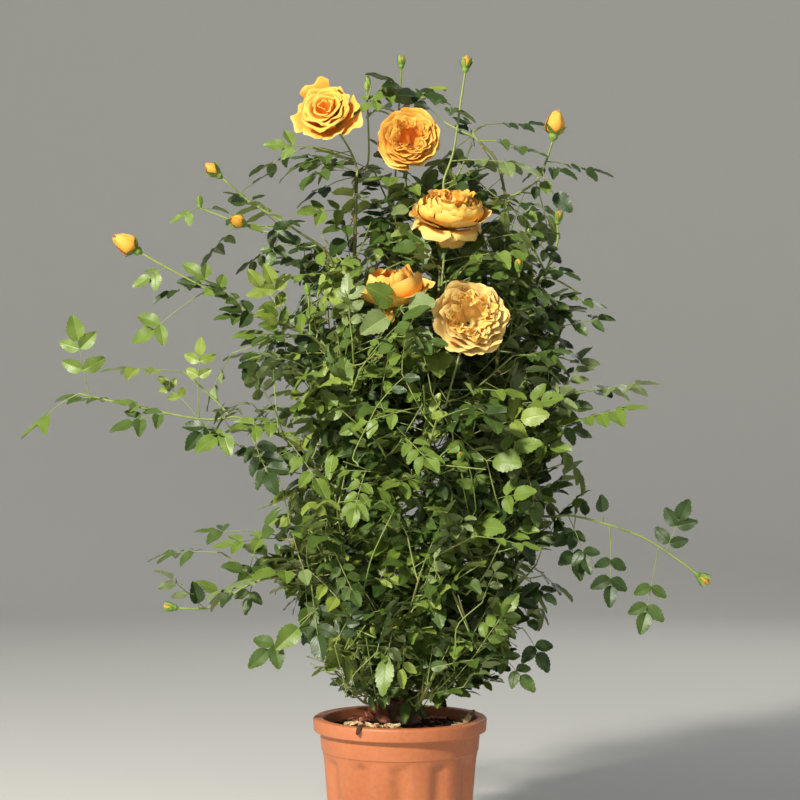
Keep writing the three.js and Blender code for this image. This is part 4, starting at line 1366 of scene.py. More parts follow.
OUTER_LEAVES["top of the left"] = [
    ((-215, -35, 940), (-175, -20, 970), 0, 36, 0.1, MID),
    ((-210, -35, 930), (-240, -45, 935), 0, 24, 0.1, DEEP),
    ((-205, -35, 930), (-185, -15, 935), 0, 22, 0.1, DEEP),
    ((-195, -35, 920), (-235, -30, 930), 0, 28, 0.9, DEEP),
    ((-270, -10, 910), (-315, -25, 895), 1, 23, 0.6, BRIGHT),
    ((-270, -10, 910), (-235, -5, 915), 0, 25, 0.3, MID),
    ((-245, -20, 880), (-215, -40, 890), 1, 20, 0.5, MID),
    ((-215, -40, 885), (-185, -55, 885), 0, 26, 0.5, BRIGHT),
    ((-185, -35, 895), (-140, -60, 865), 1, 31, 0.8, DEEP),
    ((-165, -30, 890), (-130, -10, 900), 1, 25, 0.1, DEEP),
    ((-160, -30, 865), (-180, -50, 835), 1, 24, 0.5, MID),
    ((-135, -30, 840), (-105, -60, 840), 1, 28, 0.8, BRIGHT),
]
OUTER_LEAVES["left of the arch"] = [
    ((-65, 0, 950), (-145, -20, 925), 1, 37, 0.3, DEEP),
    ((-65, 0, 935), (-140, -30, 910), 2, 29, 0.7, BRIGHT),
    ((-65, 0, 890), (-105, -40, 880), 1, 34, 0.5, MID),
    ((-65, 0, 880), (-95, -30, 850), 0, 35, 0.7, DEEP),
    ((-70, -15, 985), (-185, -40, 1005), 1, 31, 0.8, BRIGHT),
]
OUTER_LEAVES["on the arch"] = [
    ((-55, 15, 1070), (-10, 0, 1100), 1, 26, 0.4, BRIGHT),
    ((0, 20, 1080), (65, 0, 1075), 1, 36, 0.3, DEEP),
    ((0, 20, 1065), (105, -15, 1040), 2, 32, 0.3, MID),
    ((0, 20, 1065), (-65, 0, 1055), 2, 29, 0.5, BRIGHT),
    ((0, 30, 970), (-60, 0, 955), 1, 39, 0.3, BRIGHT),
    ((0, 30, 965), (25, -40, 935), 0, 27, 0.9, BRIGHT),
    ((15, -40, 930), (-10, -70, 900), 0, 29, 0.9, DULL),
    ((75, -10, 935), (115, -20, 965), 1, 31, 0.4, DEEP),
    ((75, -10, 910), (125, 20, 945), 1, 38, 0.8, MID),
    ((0, 30, 900), (-40, -20, 870), 1, 30, 0.7, MID),
    ((0, 30, 915), (-60, 0, 895), 1, 34, 0.6, DEEP),
    ((65, -40, 870), (-10, -80, 850), 2, 35, 0.8, MID),
]
# The leaves high on the right, and the upper ones at the far right in the next table, are given the deep and
# mid greens as painted shade on that side of the crown.
OUTER_LEAVES["high on the right"] = [
    ((140, 0, 1010), (205, -20, 990), 2, 34, 0.3, MID),
    ((200, 0, 975), (245, -15, 960), 1, 29, 0.3, DEEP),
    ((200, 0, 975), (170, 20, 960), 1, 26, 0.2, DEEP),
    ((200, 0, 970), (200, -40, 935), 0, 27, 1, BRIGHT),
    ((205, 0, 950), (235, -30, 915), 0, 35, 0.9, DEEP),
    ((195, 0, 955), (185, -20, 930), 0, 22, 0.8, DEEP),
    ((150, 0, 925), (205, -30, 915), 1, 29, 0.1, DEEP),
    ((145, 0, 930), (185, -50, 895), 0, 28, 0.9, BRIGHT),
    ((150, 0, 895), (220, -30, 840), 3, 23, 0.5, DEEP),
]
OUTER_LEAVES["middle of the right"] = [
    ((205, -15, 835), (245, -40, 815), 1, 28, 0.3, DEEP),
    ((200, -15, 830), (180, -30, 840), 1, 18, 0.6, DEEP),
    ((185, -15, 800), (285, -20, 785), 2, 27, 0.2, MID),
    ((165, -10, 785), (215, -60, 745), 2, 27, 0.2, DEEP),
    ((170, 0, 765), (225, 60, 720), 2, 28, 0.3, DEEP),
    ((165, -10, 750), (250, -40, 710), 2, 30, 0.2, DEEP),
    ((175, 0, 730), (240, 40, 690), 2, 28, 0.3, DEEP),
    ((200, -10, 695), (240, -50, 660), 1, 30, 0.3, DEEP),
    ((220, -20, 655), (315, -30, 670), 1, 37, 0.2, DEEP),
    ((195, -20, 640), (260, -50, 640), 2, 32, 0.6, MID),
    ((195, -20, 620), (265, -10, 605), 2, 32, 0.6, MID),
    ((185, -60, 620), (240, -85, 625), 2, 34, 0.5, BRIGHT),
    ((110, -120, 590), (180, -155, 600), 2, 38, 0.6, BRIGHT),
    ((100, -120, 480), (130, -165, 490), 1, 40, 0.8, BRIGHT),
    ((150, -90, 640), (215, -110, 655), 2, 36, 0.7, BRIGHT),
    ((130, -100, 610), (190, -140, 635), 1, 38, 0.8, YOUNG),
    ((160, -80, 590), (225, -110, 585), 2, 34, 0.7, BRIGHT),
    ((90, -120, 560), (150, -165, 570), 1, 40, 0.8, BRIGHT),
    ((120, -110, 520), (175, -150, 535), 2, 36, 0.7, BRIGHT),
]
OUTER_LEAVES["low on the right"] = [
    ((275, -45, 480), (270, -60, 525), 0, 27, 0.9, DEEP),
    ((250, -40, 495), (250, -30, 515), 0, 20, 0.1, DEEP),
    ((235, -40, 490), (235, -50, 510), 0, 18, 0.6, DEEP),
    ((285, -45, 475), (280, -80, 375), 2, 31, 0.9, DEEP),
    ((360, -50, 445), (385, -70, 520), 2, 32, 0.8, DEEP),
    ((345, -50, 445), (320, -90, 340), 2, 32, 0.8, MID),
    ((235, -40, 490), (230, -60, 450), 1, 22, 0.8, DEEP),
    ((225, -40, 490), (255, -80, 420), 1, 27, 0.5, DEEP),
    ((195, -35, 465), (245, -60, 410), 2, 31, 0.2, DEEP),
    ((190, -35, 435), (240, 0, 380), 2, 32, 0.2, DEEP),
    ((175, -35, 410), (210, -70, 380), 1, 27, 0.3, DEEP),
    ((160, -30, 380), (180, -80, 345), 1, 24, 0.7, DEEP),
    ((155, -30, 345), (200, -60, 290), 1, 30, 0.7, DEEP),
    ((120, -30, 315), (180, -70, 265), 2, 29, 0.6, MID),
]
OUTER_LEAVES["low on the left"] = [
    ((-265, -85, 375), (-270, -100, 410), 0, 32, 0.5, DEEP),
    ((-235, -80, 390), (-265, -95, 415), 0, 32, 0.5, BRIGHT),
    ((-220, -80, 395), (-260, -60, 385), 1, 31, 0.5, DEEP),
    ((-185, -80, 410), (-235, -90, 435), 1, 31, 0.4, MID),
    ((-195, -80, 405), (-205, -100, 370), 1, 24, 0.6, MID),
    ((-130, -70, 420), (-195, -110, 420), 1, 38, 0.3, BRIGHT),
    ((-135, -60, 365), (-200, -110, 300), 1, 36, 0.8, MID),
    ((-120, -60, 395), (-120, -100, 340), 0, 42, 0.9, MID),
    ((-130, -60, 370), (-160, -120, 325), 0, 42, 0.8, BRIGHT),
    ((-145, -60, 440), (-120, -110, 410), 0, 29, 0.9, DULL),
    ((-170, -50, 470), (-280, -20, 475), 1, 33, 0.4, MID),
    ((-170, -50, 465), (-250, -90, 460), 2, 31, 0.4, BRIGHT),
]
OUTER_LEAVES["among the roses"] = [
    ((0, -125, 760), (-35, -150, 800), 0, 44, 0.9, BRIGHT),
    ((0, -125, 745), (44, -145, 778), 0, 42, 0.95, DULL),
    ((0, -125, 755), (-50, -145, 740), 0, 44, 0.95, DULL),
    ((5, -125, 755), (40, -145, 710), 0, 44, 0.9, BRIGHT),
    ((40, -100, 745), (50, -160, 685), 0, 46, 0.8, BRIGHT),
]
OUTER_LEAVES["at the foot"] = [
    ((20, -20, 260), (5, -65, 220), 0, 32, 0.6, MID),
    ((15, -10, 250), (35, -50, 225), 0, 34, 0.6, DEEP),
    ((-20, -100, 340), (-24, -142, 272), 0, 48, 1.0, BRIGHT),
    ((5, -10, 270), (10, -60, 250), 0, 38, 0.6, MID),
    ((25, 0, 260), (60, -45, 240), 0, 36, 0.6, DEEP),
    ((30, -10, 275), (50, -70, 250), 0, 40, 0.6, BRIGHT),
]


def drawn_leaf(root, tip, pairs, long, lean, random):
    """The stalk of a listed leaf, and its leaflets: one at the tip, and pairs behind it."""
    along = unit(tip - root)
    face = np.array((0.25 * (random() - 0.5), -lean, 1.05 - lean + 0.2 * random()))
    top = square(face, along)
    side = unit(np.cross(along, top))
    base = tip - along * long
    reach = np.linalg.norm(base - root)

    def at(share):
        return root + (base - root) * share + top * 0.08 * reach * math.sin(math.pi * share)

    stands = [(base, unit(along + side * 0.15 * (random() - 0.5)), top + side * 0.3 * (random() - 0.5), long)]
    for pair in range(pairs):
        share = 1 - (0.28 + 0.8 * pair) * long / max(reach, 0.001)
        if share < 0.08:
            break
        for hand in (-1, 1):
            fan = 1.1 + 0.3 * (random() - 0.5)
            out = along * math.cos(fan) + side * hand * math.sin(fan) - top * 0.15 * random()
            up = top + side * hand * 0.3 * (random() - 0.3) + along * 0.2 * (random() - 0.5)
            stands.append((at(share), unit(out), up, long * (0.82 + 0.14 * random()) * (1 - 0.06 * pair)))
    return np.array([at(share) for share in np.linspace(0, 1, STALK_POINTS)]), stands


PLUMP = {"among the roses": 1.25, "at the foot": 0.78}
wood = np.vstack([line[0] for line in lines if line[1] > THICK_FROM])


def nearest_wood(point):
    return wood[np.argmin(np.linalg.norm(wood - point, axis=1))]


random = seeded(500)
for part, rows in OUTER_LEAVES.items():
    for wish, tip, pairs, long, lean, shade in rows:
        wish, tip = metres([wish, tip])
        leaf = drawn_leaf(nearest_wood(wish), tip, pairs, long * MM, lean, random)
        hang(*leaf, shade, random, PLUMP.get(part, 1.0))

# Bare pale twigs that cross in front of the leaves: the two places in mm each passes through.
FRONT_TWIGS = [
    ((75, -150, 360), (105, -172, 390)),
    ((45, -150, 445), (95, -176, 475)),
    ((112, -130, 425), (136, -150, 478)),
    ((-35, -150, 450), (-8, -182, 508)),
    ((-120, -110, 480), (-84, -150, 452)),
    ((36, -150, 566), (110, -175, 560)),
    ((66, -130, 405), (88, -160, 352)),
    ((-60, -100, 290), (-30, -130, 322)),
    ((-70, -90, 262), (-85, -130, 330)),
    ((25, -60, 240), (64, -130, 330)),
    ((50, -50, 250), (100, -120, 320)),
    ((-30, -60, 240), (-44, -130, 340)),
    ((-150, -60, 520), (-190, -90, 505)),
    ((-60, -150, 580), (-30, -180, 640)),
    ((70, -130, 600), (40, -170, 660)),
]
for places in FRONT_TWIGS:
    start, end = metres(places)
    root = nearest_wood(start - UP * 0.02)
    twig = limb(root, unit(start - root), [start, end], 2, TWIG_TIP_RADIUS, 0.0007)
    add_stem(twig)
    grow_leaves(upper_rule, twig, 2, 0.7, random, shade_for(random))


# The fine stems and leaf stalks are lines that a node tree gives a round section.
def named_value(nodes, name, kind):
    """A node that reads a value of the points by its name."""
    node = nodes.new("GeometryNodeInputNamedAttribute")
    node.data_type = kind
    node.inputs["Name"].default_value = name
    return node.outputs["Attribute"]


def stem_tree():
    group, nodes, links, given, result = geometry_tree(
        "stems_on_lines", "Stems", Lines="Geometry", Sides="Int", Finish="Material"
    )
    curve, section = nodes.new("GeometryNodeMeshToCurve"), nodes.new("GeometryNodeCurvePrimitiveCircle")
    section.inputs["Radius"].default_value = 1
    sweep = nodes.new("GeometryNodeCurveToMesh")
    sweep.inputs["Fill Caps"].default_value = True
    smooth, paint = nodes.new("GeometryNodeSetShadeSmooth"), nodes.new("GeometryNodeSetMaterial")
    links.new(given["Lines"], curve.inputs["Mesh"])
    links.new(given["Sides"], section.inputs["Resolution"])
    links.new(curve.outputs["Curve"], sweep.inputs["Curve"])
    links.new(section.outputs["Curve"], sweep.inputs["Profile Curve"])
    links.new(named_value(nodes, "thickness", "FLOAT"), sweep.inputs["Scale"])
    links.new(sweep.outputs["Mesh"], smooth.inputs["Geometry"])
    links.new(smooth.outputs["Geometry"], paint.inputs["Geometry"])
    links.new(given["Finish"], paint.inputs["Material"])
    links.new(paint.outputs["Geometry"], result["Stems"])
    return group


STEMS = stem_tree()


def stems(name, rows, sides, finish):
    """Rows of points with a radius at each end, as one mesh of round stems."""
    points = np.vstack([row for row, _, _ in rows])
    radii = np.concatenate([np.linspace(thick, thin, len(row)) for row, thick, thin in rows])
    edges, first = [], 0
    for row, _, _ in rows:
        edges += [(first + i, first + i + 1) for i in range(len(row) - 1)]
        first += len(row)
    mesh = bpy.data.meshes.new(name + "_lines")
    mesh.from_pydata([tuple(p) for p in points], edges, [])
    attribute = mesh.attributes.new("thickness", "FLOAT", "POINT")
    attribute.data.foreach_set("value", radii.astype(np.float32))
    source = bpy.data.objects.new(name + "_lines", mesh)
    scene.collection.objects.link(source)
    return grown(name, source, STEMS, Sides=sides, Finish=finish)


stem_tints = [(0.36, 110, 126, 60), (0.5, 138, 156, 82), (0.66, 156, 148, 94)]
green_stem = speckled("green_stem", (130, 148, 76), 0.5, 0.4, (25, 400, 0.3), stem_tints)
mass_names = [own["name"] for own in sprays]
thick_lines = [row for row in lines if row[1] > THICK_FROM]
thin_lines = [row for row in lines if row[1] <= THICK_FROM]
shoots = stems("shoots_and_twigs", thick_lines, 7, green_stem)
stalks = stems("leaf_stalks", thin_lines, 4, green_stem)
for piece in (shoots, stalks):
    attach(piece, "root")
    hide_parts(*mass_names)


# The leaflets themselves, four shapes that a node tree stands on the stalks.
LEAFLET_ROWS = (0.0, 0.1, 0.24, 0.38, 0.52, 0.66, 0.8, 1.0)


def half_width(t):
    """The half width of a leaflet at a share of its length: round at the foot, drawn to a point."""
    return 0.5 * math.sin(math.pi * t**0.86) ** 0.68 * (1 - 0.18 * t)


def leaflet_shape(name, fold, curl, twist, material):
    """A leaflet a unit long and wide. Its edge is toothed, and its midrib is a crease."""

    def bent(x, t):
        across = abs(x)
        z = fold * across - curl * t * t - 0.35 * across * across + 0.03 * math.sin(9 * t) * across * 2
        return (x * math.cos(twist * t), t, z + x * math.sin(twist * t))

    rows = LEAFLET_ROWS
    shares = [(0.0, t) for t in rows]
    faces = []
    for hand in (-1, 1):
        base = len(shares)
        fan = [(0, base, 1)]
        for k in range(1, len(rows) - 1):
            step = rows[k + 1] - rows[k]
            shares.append((hand * half_width(rows[k]) * 0.93, rows[k]))
            shares.append((hand * half_width(rows[k] + 0.55 * step) * 1.05, rows[k] + 0.72 * step))
            notch, tooth = base + 2 * (k - 1), base + 2 * (k - 1) + 1
            fan += [(k, notch, tooth), (k, tooth, k + 1)]
            if k + 2 < len(rows):
                fan.append((k + 1, tooth, tooth + 1))
        faces += [f[::-1] if hand < 0 else f for f in fan]
    piece = mesh_piece(name, [bent(x, t) for x, t in shares], faces, material)
    layer = piece.data.uv_layers.new(name="blade")
    for loop in piece.data.loops:
        x, t = shares[loop.vertex_index]
        layer.data[loop.index].uv = (x + 0.5, t)
    sharp = piece.data.attributes.new("sharp_edge", "BOOLEAN", "EDGE")
    for edge in piece.data.edges:
        sharp.data[edge.index].value = max(edge.vertices) < len(rows)
    return piece


def spray_tree():
    group, nodes, links, given, result = geometry_tree(
        "shapes_on_points", "Pieces", Points="Geometry", Shapes="Collection", Finish="Material"
    )
    along, upward, size = (named_value(nodes, name, "FLOAT_VECTOR") for name in ("along", "upward", "size"))
    turn = nodes.new("FunctionNodeAxesToRotation")
    turn.primary_axis = "Y"
    turn.secondary_axis = "Z"
    links.new(along, turn.inputs[0])
    links.new(upward, turn.inputs[1])
    stand, pieces = stood_shapes(nodes, links, given, given["Points"], turn.outputs[0], size)
    links.new(named_value(nodes, "shape", "INT"), stand.inputs["Instance Index"])
    links.new(pieces, result[0])
    return group


ON_POINTS = spray_tree()


def standing(name, stands, box, finish):
    """Shapes from a collection, one on each stand: (root, along, upward, size, shape)."""
    mesh = bpy.data.meshes.new(name + "_points")
    mesh.from_pydata([tuple(root) for root, *_ in stands], [], [])
    for index, attribute in ((1, "along"), (2, "upward"), (3, "size")):
        values = np.array([stand[index] for stand in stands], dtype=np.float32).ravel()
        mesh.attributes.new(attribute, "FLOAT_VECTOR", "POINT").data.foreach_set("vector", values)
    forms = [int(stand[4]) for stand in stands]
    mesh.attributes.new("shape", "INT", "POINT").data.foreach_set("value", forms)
    source = bpy.data.objects.new(name + "_points", mesh)
    scene.collection.objects.link(source)
    made = grown(name, source, ON_POINTS, Shapes=box, Finish=finish)
    for attribute in ("along", "upward", "size", "shape"):
        if attribute in made.data.attributes:
            made.data.attributes.remove(made.data.attributes[attribute])
    return made


def leaf_finish(name, face, back, gloss):
    """Leaf green: a paler midrib and side veins in low relief above, and a dull grey-green underside."""
    material, tree, surface = shader(name, face, gloss, 0.45)
    uv = tree.nodes.new("ShaderNodeUVMap")
    uv.uv_map = "blade"
    parts = tree.nodes.new("ShaderNodeSeparateXYZ")
    tree.links.new(uv.outputs["UV"], parts.inputs["Vector"])

    def sums(operation, *values):
        node = tree.nodes.new("ShaderNodeMath")
        node.operation = operation
        for socket, value in zip(node.inputs, values):
            if isinstance(value, bpy.types.NodeSocket):
                tree.links.new(value, socket)
            else:
                socket.default_value = value
        return node.outputs[0]

    across = sums("ABSOLUTE", sums("SUBTRACT", parts.outputs["X"], 0.5))
    midrib = ranged(tree, across, 0.0, 0.045, 1.0, 0.0)
    slant = sums("SUBTRACT", parts.outputs["Y"], sums("MULTIPLY", across, 0.75))
    wave = sums("ABSOLUTE", sums("SINE", sums("MULTIPLY", slant, 8 * math.pi)))
    veins = ranged(tree, wave, 0.0, 0.3, 0.55, 0.0)
    lines_mask = sums("MAXIMUM", midrib, veins)
    tone = uneven(tree, 30, 500, 0.3)
    pale = tuple(min(1.0, 1.5 * c + 0.01) for c in face[:3]) + (1.0,)
    dark = tuple(0.8 * c for c in face[:3]) + (1.0,)
    mottled = ramp(tree, tone, [(0.35, dark), (0.6, face)])
    upper = mixed(tree, sums("MULTIPLY", lines_mask, 0.4), mottled, pale)
    seen_from = tree.nodes.new("ShaderNodeNewGeometry")
    tree.links.new(mixed(tree, seen_from.outputs["Backfacing"], upper, back), surface.inputs["Base Color"])
    relief(tree, surface, sums("MULTIPLY", lines_mask, -1.0), 0.35, 0.0006)
    return material


LEAF_GREENS = [
    ("leaf_deep", linear(50, 71, 28), linear(98, 113, 62)),
    ("leaf_mid", linear(75, 98, 39), linear(108, 125, 68)),
    ("leaf_bright", linear(106, 129, 51), linear(126, 142, 75)),
    ("leaf_young", linear(130, 148, 61), linear(140, 156, 82)),
    ("leaf_dull", linear(122, 139, 84), linear(134, 150, 98)),
]
shapes = [leaflet_shape(f"leaflet_{k}", *form, green_stem) for k, form in enumerate(BLADE_FORMS)]
box = shape_box("leaflet_shapes", shapes)
for shade, (name, face, back) in enumerate(LEAF_GREENS):
    finish = leaf_finish(name, face, back, 0.42)
    piece = standing(name + "_sprays", leaflets[shade], box, finish)
    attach(piece, "root")
    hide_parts(*mass_names)
emptied(box)


# Prickles.
# Broad-based prickles, hooked down a little, stand about a finger's width apart round the canes, and smaller
# ones on the boughs. One shape is stood on points by the node tree of the leaflets.
PRICKLE_SIDES = 6
PRICKLE_ROWS = [(0.0, 0.5, 0.0), (0.35, 0.26, -0.03), (0.7, 0.12, -0.12)]
PRICKLE_TIP = (0.0, -0.32, 1.0)
PRICKLE_RULES = ((canes, 0.017, 0.0062), (boughs, 0.02, 0.0045))


def prickle_shape(finish):
    points = []
    for z, r, hook in PRICKLE_ROWS:
        points += [(0.55 * x, 1.3 * y + hook, z) for x, y, z in ring(r, z, PRICKLE_SIDES)]
    top, tip = len(points) - PRICKLE_SIDES, len(points)
    points.append(PRICKLE_TIP)
    faces = lathe_faces(len(PRICKLE_ROWS), PRICKLE_SIDES)
    faces += [(top + i, top + (i + 1) % PRICKLE_SIDES, tip) for i in range(PRICKLE_SIDES)]
    faces.append(tuple(range(PRICKLE_SIDES - 1, -1, -1)))
    return mesh_piece("prickle", points, faces, finish)


prickle_tints = [(0.36, 124, 66, 44), (0.6, 168, 118, 78)]
prickle_finish = speckled("prickle", (150, 96, 62), 0.45, 0.5, (90, 900, 0.4), prickle_tints)
prickle_draw = seeded(77)
stands = []
for limbs, step, tall in PRICKLE_RULES:
    for line in limbs.values():
        length = length_of(line)
        for k in range(int(length / step)):
            point, axis, radius = place(line, (k + prickle_draw()) * step / length)
            first = square(UP if abs(axis[2]) < 0.9 else ACROSS, axis)
            aside = turned(first, axis, 6.3 * prickle_draw())
            height = tall * (0.6 + 0.6 * prickle_draw())
            stands.append((point + aside * radius * 0.8, axis, aside, (height, height, height), 0))
box = shape_box("prickle_shapes", [prickle_shape(prickle_finish)])
prickles = standing("prickles", stands, box, prickle_finish)
emptied(box)
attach(prickles, "root")


# Roses.
# Full cupped blooms of sixty or more petals. Broad guard petals stand outside, then whorls that close in, and
# the heart is packed with folded petals in quarters or in one spiral. They are apricot yellow, paler at the
# edge and deep orange in the folds, on a green hip with five sepals.
def petal(turn, spread, section, ruffle, draw, tones, rows=7, columns=10, point=0.0, shift=(0.0, 0.0)):
    """One petal as a sheet: its section runs from the hip out and up, and it wraps round by its spread."""
    section = np.array(section)
    runs = np.linspace(0, 1, len(section))
    phase, second, third = 6.3 * draw(), 6.3 * draw(), 6.3 * draw()
    lean = 0.1 * (draw() - 0.5)
    points, values = [], []
    for i in range(rows + 1):
        for j in range(columns + 1):
            s = 2 * j / columns - 1
            tip = 1 - 0.2 * abs(s) ** 2.6 - 0.04 * math.exp(-((s / 0.2) ** 2)) + point * (1 - abs(s)) ** 1.5
            t = i / rows * tip
            r, z = np.interp(t, runs, section[:, 0]), np.interp(t, runs, section[:, 1])
            if t > 1:
                r, z = (r, z) + (t - 1) * 3 * (section[-1] - section[-2])
            edge = min(1.0, t) ** 2.5
            wave = ruffle * edge * (math.sin(3.6 * s + phase) + 0.6 * math.sin(8.2 * s + second))
            fold = 0.8 * ruffle * edge * math.sin(5.5 * s + third)
            wrap = spread * (0.72 + 0.28 * math.sin(math.pi * min(1.0, t * 1.25) / 2))
            angle = turn + s * wrap
            r = r + 0.02 * s * t + fold
            x, y = r * math.cos(angle) + shift[0], r * math.sin(angle) + shift[1]
            points.append((x, y, z + wave + lean * s * edge))
            values.append(tones[0] + (tones[1] - tones[0]) * min(1.0, t) ** 2.2)
    faces = []
    for i in range(rows):
        for j in range(columns):
            a = i * (columns + 1) + j
            faces.append((a, a + 1, a + columns + 2, a + columns + 1))
    return points, faces, values


def whorl(count, turn, spread, section, ruffle, draw, tones, looseness=0.14, point=0.0):
    """Petals round the middle, each with its own small differences."""
    parts = []
    for k in range(count):
        scale = 1 + looseness * (draw() - 0.5)
        drop = 0.35 * looseness * (draw() - 0.5)
        own = [(r * scale, z + drop * (r + 0.1)) for r, z in section]
        angle = turn + 2 * math.pi * k / count + 0.3 * (draw() - 0.5)
        pale = 0.12 * (draw() - 0.5)
        ends = (tones[0], min(1.0, tones[1] + pale))
        wrap = spread * (0.9 + 0.2 * draw())
        parts.append(petal(angle, wrap, own, ruffle, draw, ends, point=point * draw()))
    return parts


def folded_heart(draw, turn, folds, rings, ruffle, tones, lift=0.0):
    """Small petals nested in folds round a few centres, so that the face is full of wavy edges."""
    parts = []
    spread = 0.3
    for k in range(folds):
        angle = turn + 2 * math.pi * k / folds + 0.3 * (draw() - 0.5)
        middle = (spread * math.cos(angle), spread * math.sin(angle))
        for ring in range(rings):
            radius = spread * (1.1 - 0.85 * ring / rings)
            top = 0.40 + lift + 0.05 * (draw() - 0.5) - 0.02 * ring
            section = [
                (0.1 * radius, 0.1 + lift),
                (0.5 * radius, 0.2 + lift),
                (0.84 * radius, top - 0.1),
                (radius, top),
                (1.16 * radius, top + 0.01),
            ]
            for side in (-1.0, 0.0, 1.0):
                ends = (tones[0], tones[1] - 0.25 * draw())
                at = angle + side + 0.5 * (draw() - 0.5)
                parts.append(petal(at, 0.75, section, ruffle, draw, ends, rows=5, columns=8, shift=middle))
    return parts


def wound_heart(draw, turn, wide, tones):
    """Broad petals wound loosely round one centre, the edge of each rolled outwards."""
    parts = []
    for k in range(8):
        radius = wide * (1 - k / 8) ** 0.9 + 0.04
        top = 0.48 - 0.12 * radius + 0.05 * (draw() - 0.5)
        section = [
            (0.03, -0.2),
            (radius * 0.6, 0.02),
            (radius * 0.84, 0.24),
            (radius * 0.96, top - 0.04),
            (radius * 1.08, top),
            (radius * 1.22, top - 0.03),
        ]
        ends = (tones[0], tones[1] - 0.2 * draw())
        shift = (0.16 * radius * (draw() - 0.5), 0.16 * radius * (draw() - 0.5))
        at = turn + 2.2 * k + 0.5 * draw()
        wrap, drawn_out = 1.3 - 0.03 * k, 0.1 * draw()
        parts.append(petal(at, wrap, section, 0.035, draw, ends, rows=8, point=drawn_out, shift=shift))
    return parts


GUARD = [(0.05, -0.42), (0.34, -0.36), (0.7, -0.16), (0.92, 0.06), (1.0, 0.06)]
REFLEXED = [(0.05, -0.42), (0.4, -0.34), (0.76, -0.26), (0.92, -0.36), (0.9, -0.52)]
HANGING = [(0.05, -0.42), (0.3, -0.44), (0.46, -0.58), (0.44, -0.76), (0.34, -0.86)]
SAUCER = [(0.05, -0.42), (0.4, -0.26), (0.82, -0.1), (1.0, 0.04), (1.06, 0.08)]
CUPS = [
    [(0.05, -0.4), (0.44, -0.26), (0.74, 0.02), (0.88, 0.2), (0.98, 0.24)],
    [(0.05, -0.4), (0.40, -0.24), (0.64, 0.06), (0.77, 0.25), (0.87, 0.3)],
    [(0.05, -0.4), (0.36, -0.22), (0.55, 0.1), (0.67, 0.29), (0.77, 0.35)],
    [(0.05, -0.38), (0.32, -0.16), (0.47, 0.14), (0.58, 0.33), (0.67, 0.39)],
]
TALL = [
    [(0.05, -0.42), (0.52, -0.32), (0.88, -0.06), (1.02, 0.14), (1.14, 0.2)],
    [(0.05, -0.4), (0.5, -0.26), (0.82, 0.04), (0.86, 0.36), (0.78, 0.6)],
    [(0.05, -0.4), (0.42, -0.2), (0.66, 0.12), (0.68, 0.46), (0.56, 0.68)],
    [(0.05, -0.4), (0.32, -0.2), (0.48, 0.12), (0.48, 0.5), (0.32, 0.7)],
]
DOME = [(0.1, -0.2), (0.6, -0.12), (0.94, 0.0), (1.02, 0.14), (1.0, 0.26), (0.92, 0.32)]
ROLLED = [(0.05, -0.4), (0.52, -0.22), (0.76, 0.04), (0.84, 0.26), (0.93, 0.31), (1.0, 0.24)]
FRONT_TURN = -0.5 * math.pi


# The loose outer petals of the wound rose: where each points, how wide it wraps, its reach and its rise.
LOOSE_PETALS = [
    (1.8, 0.5, 1.1, 0.3),
    (2.5, 0.42, 0.9, 0.08),
    (3.1, 0.42, 1.08, 0.0),
    (3.9, 0.5, 0.92, 0.0),
    (4.75, 0.5, 0.92, 0.0),
    (5.55, 0.5, 1.1, -0.05),
    (6.15, 0.46, 0.96, 0.1),
    (0.75, 0.42, 0.84, 0.06),
]
# The whorls inside the open rose: the share of its radius, petals, rise and the tone at their foot.
SAUCER_RINGS = [
    (0.9, 8, -0.04, 0.55),
    (0.78, 9, 0.04, 0.5),
    (0.66, 9, 0.11, 0.45),
    (0.54, 8, 0.17, 0.4),
    (0.4, 7, 0.22, 0.35),
]
# The whorls of the tall rose, from outside in: the turn of the first petal, and the tones from foot to edge.
TALL_WHORLS = [(0.35, (0.45, 0.95)), (0.8, (0.35, 0.85)), (0.3, (0.3, 0.8)), (0.0, (0.2, 0.7))]


